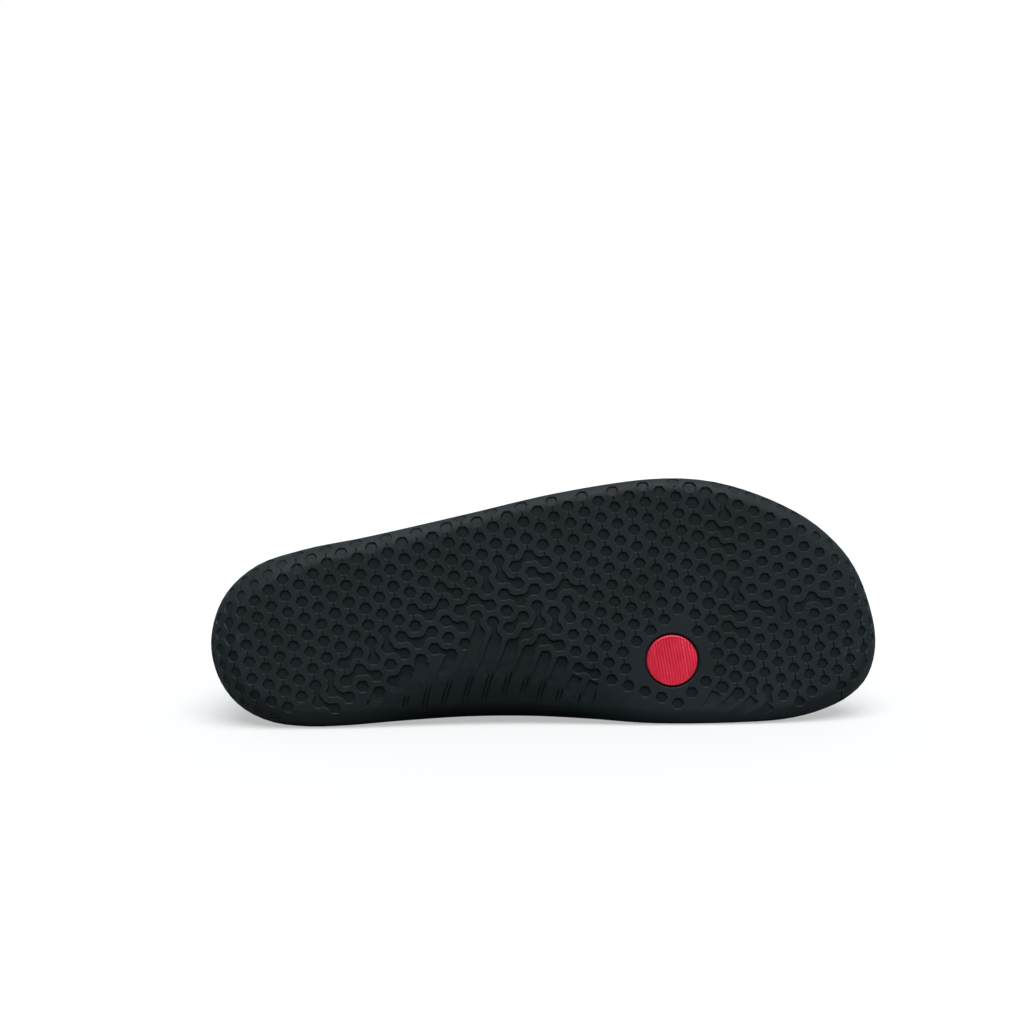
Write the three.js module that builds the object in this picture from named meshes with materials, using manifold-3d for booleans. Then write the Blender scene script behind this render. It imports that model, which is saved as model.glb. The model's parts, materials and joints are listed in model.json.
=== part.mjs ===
// Low-cut barefoot sports shoe for the right foot, empty, lying on its medial side.
// The shoe is shaped in its own frame: x from heel to toe, y towards the medial side, z up from the ground.
// One closed outline carries every piece: ribs stand on it at the same shares of the way from heel to toe
// on both sides, and the sole, the upper, the insole and the tongue are skins laid along those ribs.
import * as THREE from "three";
import { mergeVertices } from "three/addons/utils/BufferGeometryUtils.js";
import Module from "manifold-3d";

const wasm = await Module();
wasm.setup();

// Driving sizes, in millimetres
const soleLength = 283; // heel to toe over the outsole
const ballWidth = 103.5; // outsole across the ball of the foot
const upperHeight = 84; // ground to the front corners of the collar
const rimHeight = 10; // outsole side, bottom to rim
const toeSpring = 7; // lift of the sole under the tip of the toe
const archLift = 6.5; // rise of the sole's medial edge under the arch
const soleCentre = 4.6; // outsole thickness inside the lasting margin
const soleWall = 2; // outsole thickness at its rim
const upperWall = 1.7; // knitted upper
const collarPad = 2.2; // foam added round the ankle
const lastingMargin = 9.2; // the upper turned in under the foot
const insoleThickness = 3;
const tongueThickness = 3.2;
const tongueHalfWidth = 27;
const tongueRise = 17; // tongue past the front of the collar
const tongueDip = 2.4; // its lean towards the ankle there
const tongueGap = 0.6; // under the eyestays
const clearance = 0.3; // between pieces that lie on each other
const treadDepth = 1; // grooves and pits
const grooveWidth = 5.2;
const inlayRadius = 11;
const inlayThickness = 1.2;
const eyestayStep = 0.6; // its extra thickness
const eyeletRadius = 2.1;
const eyeletInset = 8; // from the edge of the throat
const laceWidth = 6.4;
const laceThickness = 1.5;
const laceGap = 0.8; // over the eyestays, between the flat steps of a run

// Densities, g/mm3, for the balance of the lying shoe
const rubberDensity = 0.00112;
const clothDensity = 0.00062;
const foamDensity = 0.00025;

// Outline of the outsole, along as a share of its length, across as a share of the ball's width
// from the line that touches the medial side at heel and ball
const outlineRows = [
  { along: 0.0, across: 0.346 },
  { along: 0.0195, across: 0.53 },
  { along: 0.068, across: 0.657 },
  { along: 0.14, across: 0.725 },
  { along: 0.236, across: 0.775 },
  { along: 0.381, across: 0.861 },
  { along: 0.525, across: 0.948 },
  { along: 0.66, across: 0.999 },
  { along: 0.73, across: 0.996 },
  { along: 0.79, across: 0.962 },
  { along: 0.863, across: 0.883 },
  { along: 0.915, across: 0.795 },
  { along: 0.959, across: 0.666 },
  { along: 0.985, across: 0.52 },
  { along: 1.0, across: 0.315 },
  { along: 0.985, across: 0.172 },
  { along: 0.955, across: 0.094 },
  { along: 0.911, across: 0.041 },
  { along: 0.863, across: 0.01 },
  { along: 0.8, across: 0.0 },
  { along: 0.66, across: 0.0 },
  { along: 0.57, across: 0.018 },
  { along: 0.48, across: 0.031 },
  { along: 0.38, across: 0.031 },
  { along: 0.285, across: 0.018 },
  { along: 0.2, across: 0.003 },
  { along: 0.14, across: 0.001 },
  { along: 0.088, across: 0.022 },
  { along: 0.044, across: 0.085 },
  { along: 0.014, across: 0.19 },
];

// Section of the outsole's edge at a share of the way from heel to toe: how far in the bottom starts to
// curve and how high it turns upright (shares of the rim height), how far in the arch starts (share of
// the ball's width), how much of the arch lift it takes, and the rim's own height
const lateralEdgeRows = [
  { at: 0.0, run: 1.5, rise: 0.9, archRun: 0.3, arch: 0, rim: 1.5 },
  { at: 0.1, run: 1.35, rise: 0.85, archRun: 0.3, arch: 0, rim: 1.35 },
  { at: 0.25, run: 0.75, rise: 0.6, archRun: 0.3, arch: 0, rim: 1.1 },
  { at: 0.5, run: 0.6, rise: 0.5, archRun: 0.3, arch: 0, rim: 1 },
  { at: 0.75, run: 0.7, rise: 0.55, archRun: 0.3, arch: 0, rim: 1 },
  { at: 0.9, run: 1.05, rise: 0.6, archRun: 0.3, arch: 0, rim: 1.1 },
  { at: 1.0, run: 1.4, rise: 0.65, archRun: 0.3, arch: 0, rim: 1.25 },
];
const medialEdgeRows = [
  { at: 0.0, run: 1.5, rise: 0.9, archRun: 0.3, arch: 0, rim: 1.5 },
  { at: 0.1, run: 1.35, rise: 0.85, archRun: 0.3, arch: 0, rim: 1.35 },
  { at: 0.22, run: 0.9, rise: 0.6, archRun: 0.3, arch: 0.1, rim: 1.1 },
  { at: 0.34, run: 0.75, rise: 0.55, archRun: 0.32, arch: 0.75, rim: 1 },
  { at: 0.44, run: 0.7, rise: 0.5, archRun: 0.34, arch: 1, rim: 1 },
  { at: 0.54, run: 0.7, rise: 0.5, archRun: 0.32, arch: 0.7, rim: 1 },
  { at: 0.64, run: 0.7, rise: 0.55, archRun: 0.3, arch: 0.1, rim: 1 },
  { at: 0.75, run: 0.75, rise: 0.6, archRun: 0.3, arch: 0, rim: 1 },
  { at: 0.9, run: 1.05, rise: 0.6, archRun: 0.3, arch: 0, rim: 1.1 },
  { at: 1.0, run: 1.4, rise: 0.65, archRun: 0.3, arch: 0, rim: 1.25 },
];

// Edge of the collar and throat on each side, then the ridge of the vamp, which both sides share:
// along as a share of length, across of the ball's width, height of the upper's height
const lateralTopRows = [
  { at: 0.0, along: 0.03, across: 0.367, height: 0.85 },
  { at: 0.05, along: 0.042, across: 0.495, height: 0.84 },
  { at: 0.1, along: 0.084, across: 0.592, height: 0.79 },
  { at: 0.15, along: 0.135, across: 0.647, height: 0.725 },
  { at: 0.2, along: 0.186, across: 0.672, height: 0.685 },
  { at: 0.25, along: 0.233, across: 0.678, height: 0.69 },
  { at: 0.3, along: 0.278, across: 0.667, height: 0.745 },
  { at: 0.35, along: 0.318, across: 0.638, height: 0.87 },
  { at: 0.39, along: 0.35, across: 0.603, height: 1.0 },
  { at: 0.45, along: 0.422, across: 0.588, height: 0.91 },
  { at: 0.5, along: 0.488, across: 0.578, height: 0.82 },
  { at: 0.55, along: 0.555, across: 0.56, height: 0.735 },
  { at: 0.585, along: 0.594, across: 0.522, height: 0.685 },
];
const medialTopRows = [
  { at: 0.0, along: 0.03, across: 0.367, height: 0.85 },
  { at: 0.05, along: 0.042, across: 0.24, height: 0.84 },
  { at: 0.1, along: 0.084, across: 0.146, height: 0.795 },
  { at: 0.15, along: 0.135, across: 0.093, height: 0.74 },
  { at: 0.2, along: 0.186, across: 0.07, height: 0.71 },
  { at: 0.25, along: 0.233, across: 0.067, height: 0.715 },
  { at: 0.3, along: 0.278, across: 0.087, height: 0.765 },
  { at: 0.35, along: 0.318, across: 0.138, height: 0.88 },
  { at: 0.39, along: 0.35, across: 0.2, height: 1.0 },
  { at: 0.45, along: 0.422, across: 0.24, height: 0.91 },
  { at: 0.5, along: 0.488, across: 0.275, height: 0.82 },
  { at: 0.55, along: 0.555, across: 0.314, height: 0.735 },
  { at: 0.585, along: 0.594, across: 0.362, height: 0.685 },
];
const vampRows = [
  { at: 0.61, along: 0.612, across: 0.443, height: 0.66 },
  { at: 0.7, along: 0.69, across: 0.44, height: 0.585 },
  { at: 0.8, along: 0.78, across: 0.425, height: 0.515 },
  { at: 0.9, along: 0.862, across: 0.39, height: 0.44 },
  { at: 1.0, along: 0.92, across: 0.345, height: 0.365 },
];

// Shape of the upper's side between rim and top: how far it goes on upright (share of its height), how
// far it swells out there (share of the ball's width), how flat it comes to the top (share of its
// width), how much of its height it drops there, and how much it has of the collar's foam and of the
// eyestay's extra thickness
const sideRows = [
  { at: 0.0, upright: 0.4, swell: 0.05, flat: 0, drop: 0.34, pad: 1, eyestay: 0 },
  { at: 0.1, upright: 0.4, swell: 0.04, flat: 0, drop: 0.34, pad: 1, eyestay: 0 },
  { at: 0.2, upright: 0.4, swell: 0.02, flat: 0, drop: 0.36, pad: 1, eyestay: 0 },
  { at: 0.3, upright: 0.42, swell: 0.012, flat: 0.08, drop: 0.32, pad: 0.6, eyestay: 0 },
  { at: 0.36, upright: 0.45, swell: 0.012, flat: 0.22, drop: 0.24, pad: 0.05, eyestay: 0.1 },
  { at: 0.39, upright: 0.46, swell: 0.012, flat: 0.3, drop: 0.2, pad: 0, eyestay: 1 },
  { at: 0.5, upright: 0.48, swell: 0.014, flat: 0.42, drop: 0.1, pad: 0, eyestay: 1 },
  { at: 0.6, upright: 0.52, swell: 0.014, flat: 0.5, drop: 0, pad: 0, eyestay: 1 },
  { at: 0.66, upright: 0.53, swell: 0.014, flat: 0.51, drop: 0, pad: 0, eyestay: 0 },
  { at: 0.8, upright: 0.56, swell: 0.012, flat: 0.52, drop: 0, pad: 0, eyestay: 0 },
  { at: 1.0, upright: 0.6, swell: 0.01, flat: 0.5, drop: 0, pad: 0, eyestay: 0 },
];

// Ribs and the steps along each rib
const ribRuns = [
  { from: 0, to: 0.39, ribs: 10, crowding: 0.5 }, // heel and ankle, closer round the heel
  { from: 0.39, to: 0.61, ribs: 6, crowding: 0 }, // throat
  { from: 0.61, to: 1, ribs: 10, crowding: -0.45 }, // vamp, closer round the toe
];
const bottomShares = [1, 0.8, 0.6, 0.42]; // of the way from the outline to the spine
const edgeShares = [1.2, 1.1, 1, 0.68, 0.42, 0.22, 0.09, 0.022, 0]; // of the lasting margin
const wallShares = [1]; // from the upright edge to the rim
const rimInset = 0.7;
const sideShares = [0.12, 0.28, 0.45, 0.6, 0.7, 0.73, 0.86, 1];
const crossStart = 2; // the side's step where the cross lines of the instep start
const bridgeSteps = 8;
const bridgePull = 0.36; // how far the cross lines keep the slope of the sides over the throat
const eyestayShare = 0.73; // of the side, from here up the wall is thicker beside the throat
const padStart = 0.45; // share of the side where the collar's foam starts
const heelSpine = 0.16; // ends of the spine, shares of the length
const toeSpine = 0.84;
const spineCrowding = 0.34;
const springStart = 0.74;

const edgeThickness = soleCentre - upperWall - clearance; // outsole under the lasting margin
const stepIndex = bottomShares.length + 1; // the outsole is thinner from here out
const marginIndex = stepIndex + 1; // the upper's turned-in margin starts here
const edgeIndex = bottomShares.length + edgeShares.length - 1;
const rimIndex = edgeIndex + wallShares.length;

const lerp = (a, b, s) => a + (b - a) * s;
const mix = (a, b, s) => a.clone().lerp(b, s);
const up = new THREE.Vector3(0, 0, 1);

// A row of named columns at any place between the rows of a table, on smooth curves
function rowAt(rows, at) {
  const last = rows.length - 1;
  const place = Math.min(Math.max(at, rows[0].at), rows[last].at);
  const i = Math.min(Math.max(rows.findIndex((row) => row.at >= place), 1), last);
  const [before, a, b, after] = [rows[Math.max(i - 2, 0)], rows[i - 1], rows[i], rows[Math.min(i + 1, last)]];
  const span = b.at - a.at;
  const s = (place - a.at) / span;
  const made = {};
  for (const column of Object.keys(a)) {
    const slopeA = ((b[column] - before[column]) / (b.at - before.at)) * span;
    const slopeB = ((after[column] - a[column]) / (after.at - a.at)) * span;
    made[column] =
      a[column] * (1 + s * s * (2 * s - 3)) +
      b[column] * s * s * (3 - 2 * s) +
      slopeA * s * (1 - s) * (1 - s) -
      slopeB * s * s * (1 - s);
  }
  return made;
}

// The outline as one closed curve, from the back of the heel round the lateral side to the toe and back
const outline = new THREE.CatmullRomCurve3(
  outlineRows.map((row) => new THREE.Vector3(row.along * soleLength, (0.5 - row.across) * ballWidth, 0)),
  true,
  "centripetal",
);
const outlineSamples = 1600;
outline.arcLengthDivisions = outlineSamples;
const spaced = outline.getSpacedPoints(outlineSamples);
const toeShare = spaced.reduce((best, point, i) => (point.x > spaced[best].x ? i : best), 0) / outlineSamples;

function outlineAt(side, at) {
  const share = side === "lateral" ? at * toeShare : 1 - at * (1 - toeShare);
  return outline.getPointAt(share % 1);
}

// Middle line of the sole, which the ribs run in to; it stops short of heel and toe, so they fan out there
function spineAt(at) {
  const middle = mix(outlineAt("lateral", at), outlineAt("medial", at), 0.5);
  const shift = at - (Math.sin(2 * Math.PI * at) * spineCrowding) / (2 * Math.PI);
  const x = soleLength * lerp(heelSpine, toeSpine, shift);
  const reach = Math.min(Math.max((x / soleLength - 0.02) / 0.96, 0), 1);
  const across = mix(outlineAt("lateral", reach), outlineAt("medial", reach), 0.5);
  return new THREE.Vector3(x, lerp(across.y, middle.y, 0.3), 0);
}

const edgeRowsOf = { lateral: lateralEdgeRows, medial: medialEdgeRows };

function springAt(x) {
  const s = Math.max(0, (x / soleLength - springStart) / (1 - springStart));
  return toeSpring * s * s;
}

// A point of the outsole's bottom, a distance in from the outline along a rib
function bottomPoint(side, at, distance) {
  const edge = outlineAt(side, at);
  const inward = spineAt(at).sub(edge).normalize();
  const row = rowAt(edgeRowsOf[side], at);
  const run = row.run * rimHeight;
  const curve = Math.max(0, 1 - distance / run);
  const arch = Math.max(0, 1 - distance / (row.archRun * ballWidth));
  const point = edge.addScaledVector(inward, distance);
  const turnedUp = row.rise * rimHeight * (1 - Math.sqrt(1 - curve * curve));
  point.z = springAt(point.x) + archLift * row.arch * arch * arch + turnedUp;
  return point;
}

const spineReach = (side, at) => spineAt(at).distanceTo(outlineAt(side, at));

// The whole rib of the outsole's outside, from the spine to the rim
function soleRib(side, at) {
  const reach = spineReach(side, at);
  const distances = bottomShares.map((share) => share * reach);
  distances.push(...edgeShares.map((share) => share * lastingMargin));
  const points = distances.map((distance) => bottomPoint(side, at, distance));
  const foot = points[points.length - 1];
  const row = rowAt(edgeRowsOf[side], at);
  const height = (row.rim - row.rise) * rimHeight;
  const inward = spineAt(at).sub(outlineAt(side, at)).normalize();
  for (const share of wallShares) {
    const point = foot.clone().addScaledVector(up, share * height);
    points.push(point.addScaledVector(inward, share * share * rimInset));
  }
  return points;
}

// A skin: points with shared indices, triangles, and a thickness at each point
class Skin {
  points = [];
  faces = [];
  depths = [];
  rolled = new Set();
  add(point, depth = 0) {
    this.depths.push(depth);
    return this.points.push(point) - 1;
  }
  triangle(a, b, c) {
    if (a !== b && b !== c && a !== c) this.faces.push([a, b, c]);
  }
  // Two rows of indices joined by quads
  strip(rowA, rowB) {
    for (let i = 0; i + 1 < rowA.length; i++) {
      this.triangle(rowA[i], rowB[i], rowB[i + 1]);
      this.triangle(rowA[i], rowB[i + 1], rowA[i + 1]);
    }
  }
  normals() {
    const sums = this.points.map(() => new THREE.Vector3());
    for (const face of this.faces) {
      const [a, b, c] = face.map((i) => this.points[i]);
      const normal = b.clone().sub(a).cross(c.clone().sub(a));
      for (const i of face) sums[i].add(normal.normalize());
    }
    return sums.map((sum) => sum.normalize());
  }
  // The points moved in along their normals
  inside(depths) {
    const normals = this.normals();
    return this.points.map((point, i) => point.clone().addScaledVector(normals[i], -depths[i]));
  }
  // A closed solid between the skin and its inside; a rolled rim gets one more row along its crest
  solid() {
    const inner = this.inside(this.depths);
    const count = this.points.length;
    const points = [...this.points, ...inner];
    const faces = [...this.faces, ...this.faces.map(([a, b, c]) => [a + count, c + count, b + count])];
    const edges = new Set(this.faces.flatMap(([a, b, c]) => [`${a},${b}`, `${b},${c}`, `${c},${a}`]));
    const crest = new Map();
    const crestOf = (i) => {
      if (!this.rolled.has(i)) return null;
      if (!crest.has(i)) crest.set(i, points.push(this.crestPoint(i, inner[i])) - 1);
      return crest.get(i);
    };
    for (const edge of edges) {
      const [a, b] = edge.split(",").map(Number);
      if (edges.has(`${b},${a}`)) continue;
      const [crestA, crestB] = [crestOf(a), crestOf(b)];
      const outerLoop = [a, crestA ?? a + count, crestB ?? b + count, b];
      const innerLoop = [crestA ?? a + count, a + count, b + count, crestB ?? b + count];
      for (const [p, q, r, t] of [outerLoop, innerLoop]) faces.push([p, q, r], [p, r, t]);
    }
    return geometryOf(points, faces.filter(([p, q, r]) => p !== q && q !== r && p !== r));
  }
  crestPoint(i, inner) {
    const along = this.points[i].clone().sub(this.points[i - 1]).normalize();
    return mix(this.points[i], inner, 0.5).addScaledVector(along, 0.4 * this.depths[i]);
  }
}

function geometryOf(points, faces) {
  const geometry = new THREE.BufferGeometry();
  const places = points.flatMap((point) => [point.x, point.y, point.z]);
  geometry.setAttribute("position", new THREE.Float32BufferAttribute(places, 3));
  geometry.setIndex(faces.flat());
  return geometry;
}

function manifoldOf(geometry) {
  const bare = geometry.clone();
  bare.deleteAttribute("normal");
  bare.deleteAttribute("uv");
  const merged = mergeVertices(bare, 1e-4);
  return new wasm.Manifold(
    new wasm.Mesh({
      numProp: 3,
      vertProperties: merged.getAttribute("position").array,
      triVerts: new Uint32Array(merged.index.array),
    }),
  );
}

function geometryFrom(manifold) {
  const mesh = manifold.getMesh();
  const geometry = new THREE.BufferGeometry();
  geometry.setAttribute("position", new THREE.BufferAttribute(new Float32Array(mesh.vertProperties), 3));
  geometry.setIndex(new THREE.BufferAttribute(new Uint32Array(mesh.triVerts), 1));
  return geometry;
}

const subtract = (geometry, cutters) =>
  geometryFrom(cutters.reduce((solid, cutter) => solid.subtract(manifoldOf(cutter)), manifoldOf(geometry)));
const union = (pieces) => geometryFrom(pieces.map(manifoldOf).reduce((all, piece) => all.add(piece)));

const laceSection = [
  [-0.5, -0.5],
  [-0.36, 0.5],
  [0.36, 0.5],
  [0.5, -0.5],
];
const grooveSection = [
  [-0.5, -0.5],
  [-0.5, 0],
  [-0.3, 0.5],
  [0.3, 0.5],
  [0.5, 0],
  [0.5, -0.5],
];

// A flat band along points, lying across the given normals; its section is in shares of width and thickness
function band(section, points, normals, width, thickness) {
  const vertices = [];
  const faces = [];
  points.forEach((point, i) => {
    const ahead = points[Math.min(i + 1, points.length - 1)].clone().sub(points[Math.max(i - 1, 0)]);
    const across = ahead.cross(normals[i]).normalize();
    for (const [sideways, upwards] of section) {
      const vertex = point.clone().addScaledVector(across, sideways * width);
      vertices.push(vertex.addScaledVector(normals[i], upwards * thickness));
    }
  });
  const n = section.length;
  for (let i = 0; i + 1 < points.length; i++) {
    for (let k = 0; k < n; k++) {
      const [a, b] = [i * n + k, i * n + ((k + 1) % n)];
      faces.push([a, a + n, b + n], [a, b + n, b]);
    }
  }
  const end = (points.length - 1) * n;
  for (let k = 1; k + 1 < n; k++) faces.push([0, k, k + 1], [end, end + k + 1, end + k]);
  const inverted = manifoldOf(geometryOf(vertices, faces)).volume() < 0;
  return geometryOf(vertices, inverted ? faces.map(([a, b, c]) => [a, c, b]) : faces);
}

// Shares of the ribs, and the order in which they go round the shoe: lateral to the toe, medial back
const ribShares = [0];
for (const { from, to, ribs, crowding } of ribRuns) {
  for (let i = 1; i <= ribs; i++) {
    const u = i / ribs;
    ribShares.push(lerp(from, to, u - crowding * u * (1 - u)));
  }
}
const ribsPerSide = ribShares.length - 1;
const collarFront = ribRuns[0].ribs; // rib at the front corners of the collar
const throatEnd = collarFront + ribRuns[1].ribs; // rib where the throat closes and the vamp starts
const roundTrip = [
  ...ribShares.map((at, k) => ({ side: "lateral", at, k })),
  ...ribShares
    .map((at, k) => ({ side: "medial", at, k }))
    .slice(1, -1)
    .reverse(),
];
const ribKey = (side, k) => (k === 0 || k === ribsPerSide ? `end${k}` : `${side}${k}`);

// Outside of the outsole
function soleSkin() {
  const skin = new Skin();
  const spinePoint = (at) => bottomPoint("lateral", at, spineReach("lateral", at));
  const spine = ribShares.map((at) => skin.add(spinePoint(at), soleCentre));
  const rows = new Map();
  for (const { side, at, k } of roundTrip) {
    const row = soleRib(side, at).map((point, i) => {
      if (i === 0) return spine[k];
      const onWall = Math.max(0, (i - edgeIndex) / (rimIndex - edgeIndex));
      const depth = i < stepIndex ? soleCentre : lerp(edgeThickness, soleWall, onWall);
      return skin.add(point, depth);
    });
    rows.set(ribKey(side, k), row);
  }
  stripAround(skin, rows);
  return { skin, rows };
}

// Joins the ribs round the shoe, with the faces pointing out of the shoe
function stripAround(skin, rows) {
  roundTrip.forEach((rib, i) => {
    const next = roundTrip[(i + 1) % roundTrip.length];
    skin.strip(rows.get(ribKey(rib.side, rib.k)), rows.get(ribKey(next.side, next.k)));
  });
}

const sole = soleSkin();
const seatDepths = sole.skin.depths.map((depth) => depth + clearance);
const seat = sole.skin.inside(seatDepths); // what the upper stands against inside the outsole

const topRowsOf = { lateral: lateralTopRows, medial: medialTopRows };

// Edge of the collar and throat, or the ridge of the vamp
function topPoint(side, at) {
  const throatRows = [...topRowsOf[side], vampRows[0]];
  const row = at < vampRows[0].at ? rowAt(throatRows, at) : rowAt(vampRows, at);
  return new THREE.Vector3(row.along * soleLength, (0.5 - row.across) * ballWidth, row.height * upperHeight);
}

// The upper's side above the rim of the outsole, as one Bezier curve from the rim to the top
function sideCurve(side, at, foot, below) {
  const row = rowAt(sideRows, at);
  const top = topPoint(side, at);
  const height = top.z - foot.z;
  const level = new THREE.Vector3(foot.x - top.x, foot.y - top.y, 0);
  const outward = outlineAt(side, at).sub(spineAt(at)).normalize();
  const rising = foot.clone().sub(below).normalize();
  const first = foot
    .clone()
    .addScaledVector(rising, row.upright * height)
    .addScaledVector(outward, row.swell * ballWidth);
  const second = top.clone().addScaledVector(level, row.flat).addScaledVector(up, -row.drop * height);
  second.z += vampSlope(at) * (second.x - top.x);
  return new THREE.CubicBezierCurve3(foot, first, second, top);
}

// Slope of the vamp's ridge, which the sides keep where they run forward from it
function vampSlope(at) {
  if (at < vampRows[0].at) return 0;
  const step = 0.01;
  const [back, front] = [topPoint("lateral", at - step), topPoint("lateral", Math.min(at + step, 1))];
  return (front.z - back.z) / (front.x - back.x);
}

// Outside of the upper, from the edge of its lasting margin under the foot to the top
function upperSkin() {
  const skin = new Skin();
  const rows = new Map();
  const ridge = new Map();
  for (const { side, at, k } of roundTrip) {
    const soleRow = sole.rows.get(ribKey(side, k)).slice(marginIndex);
    const row = soleRow.map((i) => skin.add(seat[i].clone(), upperWall));
    const foot = skin.points[row[row.length - 1]];
    const below = skin.points[row[row.length - 2]];
    const curve = sideCurve(side, at, foot, below);
    const pad = rowAt(sideRows, at).pad;
    for (const share of sideShares) {
      if (share === 1 && k >= throatEnd) {
        if (!ridge.has(k)) ridge.set(k, skin.add(curve.getPoint(1), upperWall));
        row.push(ridge.get(k));
        continue;
      }
      const padded = Math.max(0, (share - padStart) / (1 - padStart));
      const swollen = Math.sin(Math.min(1, padded * 1.6) * Math.PI * 0.5);
      row.push(skin.add(curve.getPoint(share), upperWall + collarPad * pad * swollen));
      if (share === 1) skin.rolled.add(row[row.length - 1]);
    }
    rows.set(ribKey(side, k), row);
  }
  stripAround(skin, rows);
  thickenEyestay(skin, rows);
  return { skin, rows };
}

// Beside the throat the upper's wall steps out
function thickenEyestay(skin, rows) {
  const normals = skin.normals();
  const first = sideShares.indexOf(eyestayShare) - sideShares.length;
  const done = new Set();
  for (const { side, at, k } of roundTrip) {
    const step = eyestayStep * rowAt(sideRows, at).eyestay;
    for (const i of rows.get(ribKey(side, k)).slice(first)) {
      if (done.has(i)) continue;
      done.add(i);
      skin.points[i].addScaledVector(normals[i], step);
      skin.depths[i] += step;
    }
  }
}

const upper = upperSkin();
const upperNormals = upper.skin.normals();
const upperInside = upper.skin.inside(upper.skin.depths);

// The cross line of the instep at a rib: up the medial side on the given points, over the throat and
// down the lateral side, with the length of the part over the throat
function crossLine(points, k) {
  const count = sideShares.length - crossStart;
  const [medial, lateral] = ["medial", "lateral"].map((side) =>
    upper.rows.get(ribKey(side, k)).slice(-count).map((i) => points[i]),
  );
  const [a, b] = [medial[count - 1], lateral[count - 1]];
  const width = a.distanceTo(b);
  const directionOf = (row) => row[count - 1].clone().sub(row[count - 2]).normalize();
  const bridge = new THREE.CubicBezierCurve3(
    a,
    a.clone().addScaledVector(directionOf(medial), width * bridgePull),
    b.clone().addScaledVector(directionOf(lateral), width * bridgePull),
    b,
  );
  const over = width > 1 ? bridge.getPoints(bridgeSteps).slice(1) : [];
  return {
    line: [...medial, ...over, ...lateral.slice(0, -1).reverse()],
    rise: lengthOf(medial),
    throat: lengthOf([a, ...over]),
  };
}

function lengthOf(line) {
  return line.slice(1).reduce((sum, point, i) => sum + point.distanceTo(line[i]), 0);
}

// Points at even steps along a cross line, a half width to each side of the middle of the throat
function spread({ line, rise, throat }, halfWidth, count) {
  const path = new THREE.CurvePath();
  for (let i = 0; i + 1 < line.length; i++) path.add(new THREE.LineCurve3(line[i], line[i + 1]));
  const length = path.getLength();
  return Array.from({ length: count }, (_, i) => {
    const reach = rise + throat / 2 + lerp(-halfWidth, halfWidth, i / (count - 1));
    return path.getPointAt(Math.min(Math.max(reach / length, 0), 1));
  });
}

// The tongue lies under the throat, stitched in under the vamp, and stands up past the collar
const tonguePoints = 13;
const tongueFront = 1; // ribs under the vamp
const risePieces = 4;
const tongueTaper = 0.24; // narrowing past the front of the collar

function tongueSkin() {
  const skin = new Skin();
  const under = upper.skin.inside(upper.skin.depths.map((depth) => depth + tongueGap));
  const lines = [];
  for (let k = throatEnd + tongueFront; k >= collarFront; k--) {
    const lower = k < throatEnd ? 0 : tongueGap;
    const line = spread(crossLine(under, k), tongueHalfWidth, tonguePoints);
    lines.push(line.map((point) => point.addScaledVector(up, -lower)));
  }
  const [before, last] = lines.slice(-2);
  const middle = (tonguePoints - 1) / 2;
  const climb = last[middle].clone().sub(before[middle]).normalize();
  for (let piece = 1; piece <= risePieces; piece++) {
    const s = piece / risePieces;
    const narrowing = 1 - tongueTaper * s;
    const centre = last[middle].clone().addScaledVector(climb, tongueRise * s);
    centre.addScaledVector(up, -tongueDip * Math.sin((Math.PI / 2) * s));
    const rounded = (i) => 1 - 0.3 * s * s * Math.pow(Math.abs(i - middle) / middle, 2);
    lines.push(
      last.map((point, i) => {
        const offset = point.clone().sub(last[middle]);
        return centre
          .clone()
          .addScaledVector(offset, narrowing)
          .addScaledVector(climb, (rounded(i) - 1) * tongueRise);
      }),
    );
  }
  const rows = lines.map((line) => line.map((point) => skin.add(point, tongueThickness)));
  for (let i = 0; i + 1 < rows.length; i++) skin.strip(rows[i], rows[i + 1]);
  return skin;
}

// The insole fills the floor inside the upper
const insoleMargin = 0.78; // of the lasting margin, in from the outline
const insoleShares = [1, 0.7, 0.4, 0.14, 0];

function insoleGeometry() {
  const skin = new Skin();
  const floor = (side, at, distance) => {
    const point = bottomPoint(side, at, distance);
    const step = 0.5;
    const further = bottomPoint(side, at, distance + step);
    const slope = further.sub(point);
    const level = Math.hypot(slope.x, slope.y);
    const normal = new THREE.Vector3(-slope.x * slope.z, -slope.y * slope.z, level * level).normalize();
    return point.addScaledVector(normal, soleCentre + clearance);
  };
  const spine = ribShares.map((at) =>
    skin.add(floor("lateral", at, spineReach("lateral", at)), insoleThickness),
  );
  const rows = new Map();
  for (const { side, at, k } of roundTrip) {
    const reach = spineReach(side, at);
    const row = insoleShares.map((share) => {
      if (share === 1) return spine[k];
      return skin.add(floor(side, at, lerp(insoleMargin * lastingMargin, reach, share)), insoleThickness);
    });
    rows.set(ribKey(side, k), row);
  }
  stripAround(skin, rows);
  return skin.solid();
}

// Grooves that cross the medial edge, slanting back from the pits: where they start and end, as shares
// of the way from heel to toe, and how far in from the outline, as shares of the ball's width
const grooveSets = [
  { count: 11, first: 0.29, last: 0.565, slant: -0.028, inner: 0.3, outer: 0.1 },
  { count: 4, first: 0.765, last: 0.85, slant: -0.022, inner: 0.14, outer: 0.045 },
];
const grooveSteps = 3;

function grooveCutters() {
  return grooveSets.flatMap(({ count, first, last, slant, inner, outer }) =>
    Array.from({ length: count }, (_, i) => {
      const start = lerp(first, last, i / (count - 1));
      const bow = Math.sin((Math.PI * (i + 0.5)) / count); // the grooves of the middle reach furthest in
      const points = Array.from({ length: grooveSteps + 1 }, (_, step) => {
        const s = step / grooveSteps;
        const reach = lerp(lerp(outer * 1.5, inner, bow), outer, s) * ballWidth;
        return bottomPoint("medial", start + slant * s, reach);
      });
      return band(grooveSection, points, points.map(() => up), grooveWidth, 2 * treadDepth);
    }),
  );
}

// A round plain inlay let into the tread under the ball
const inlayAlong = 0.69;
const inlayAcross = 0.26;

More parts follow.
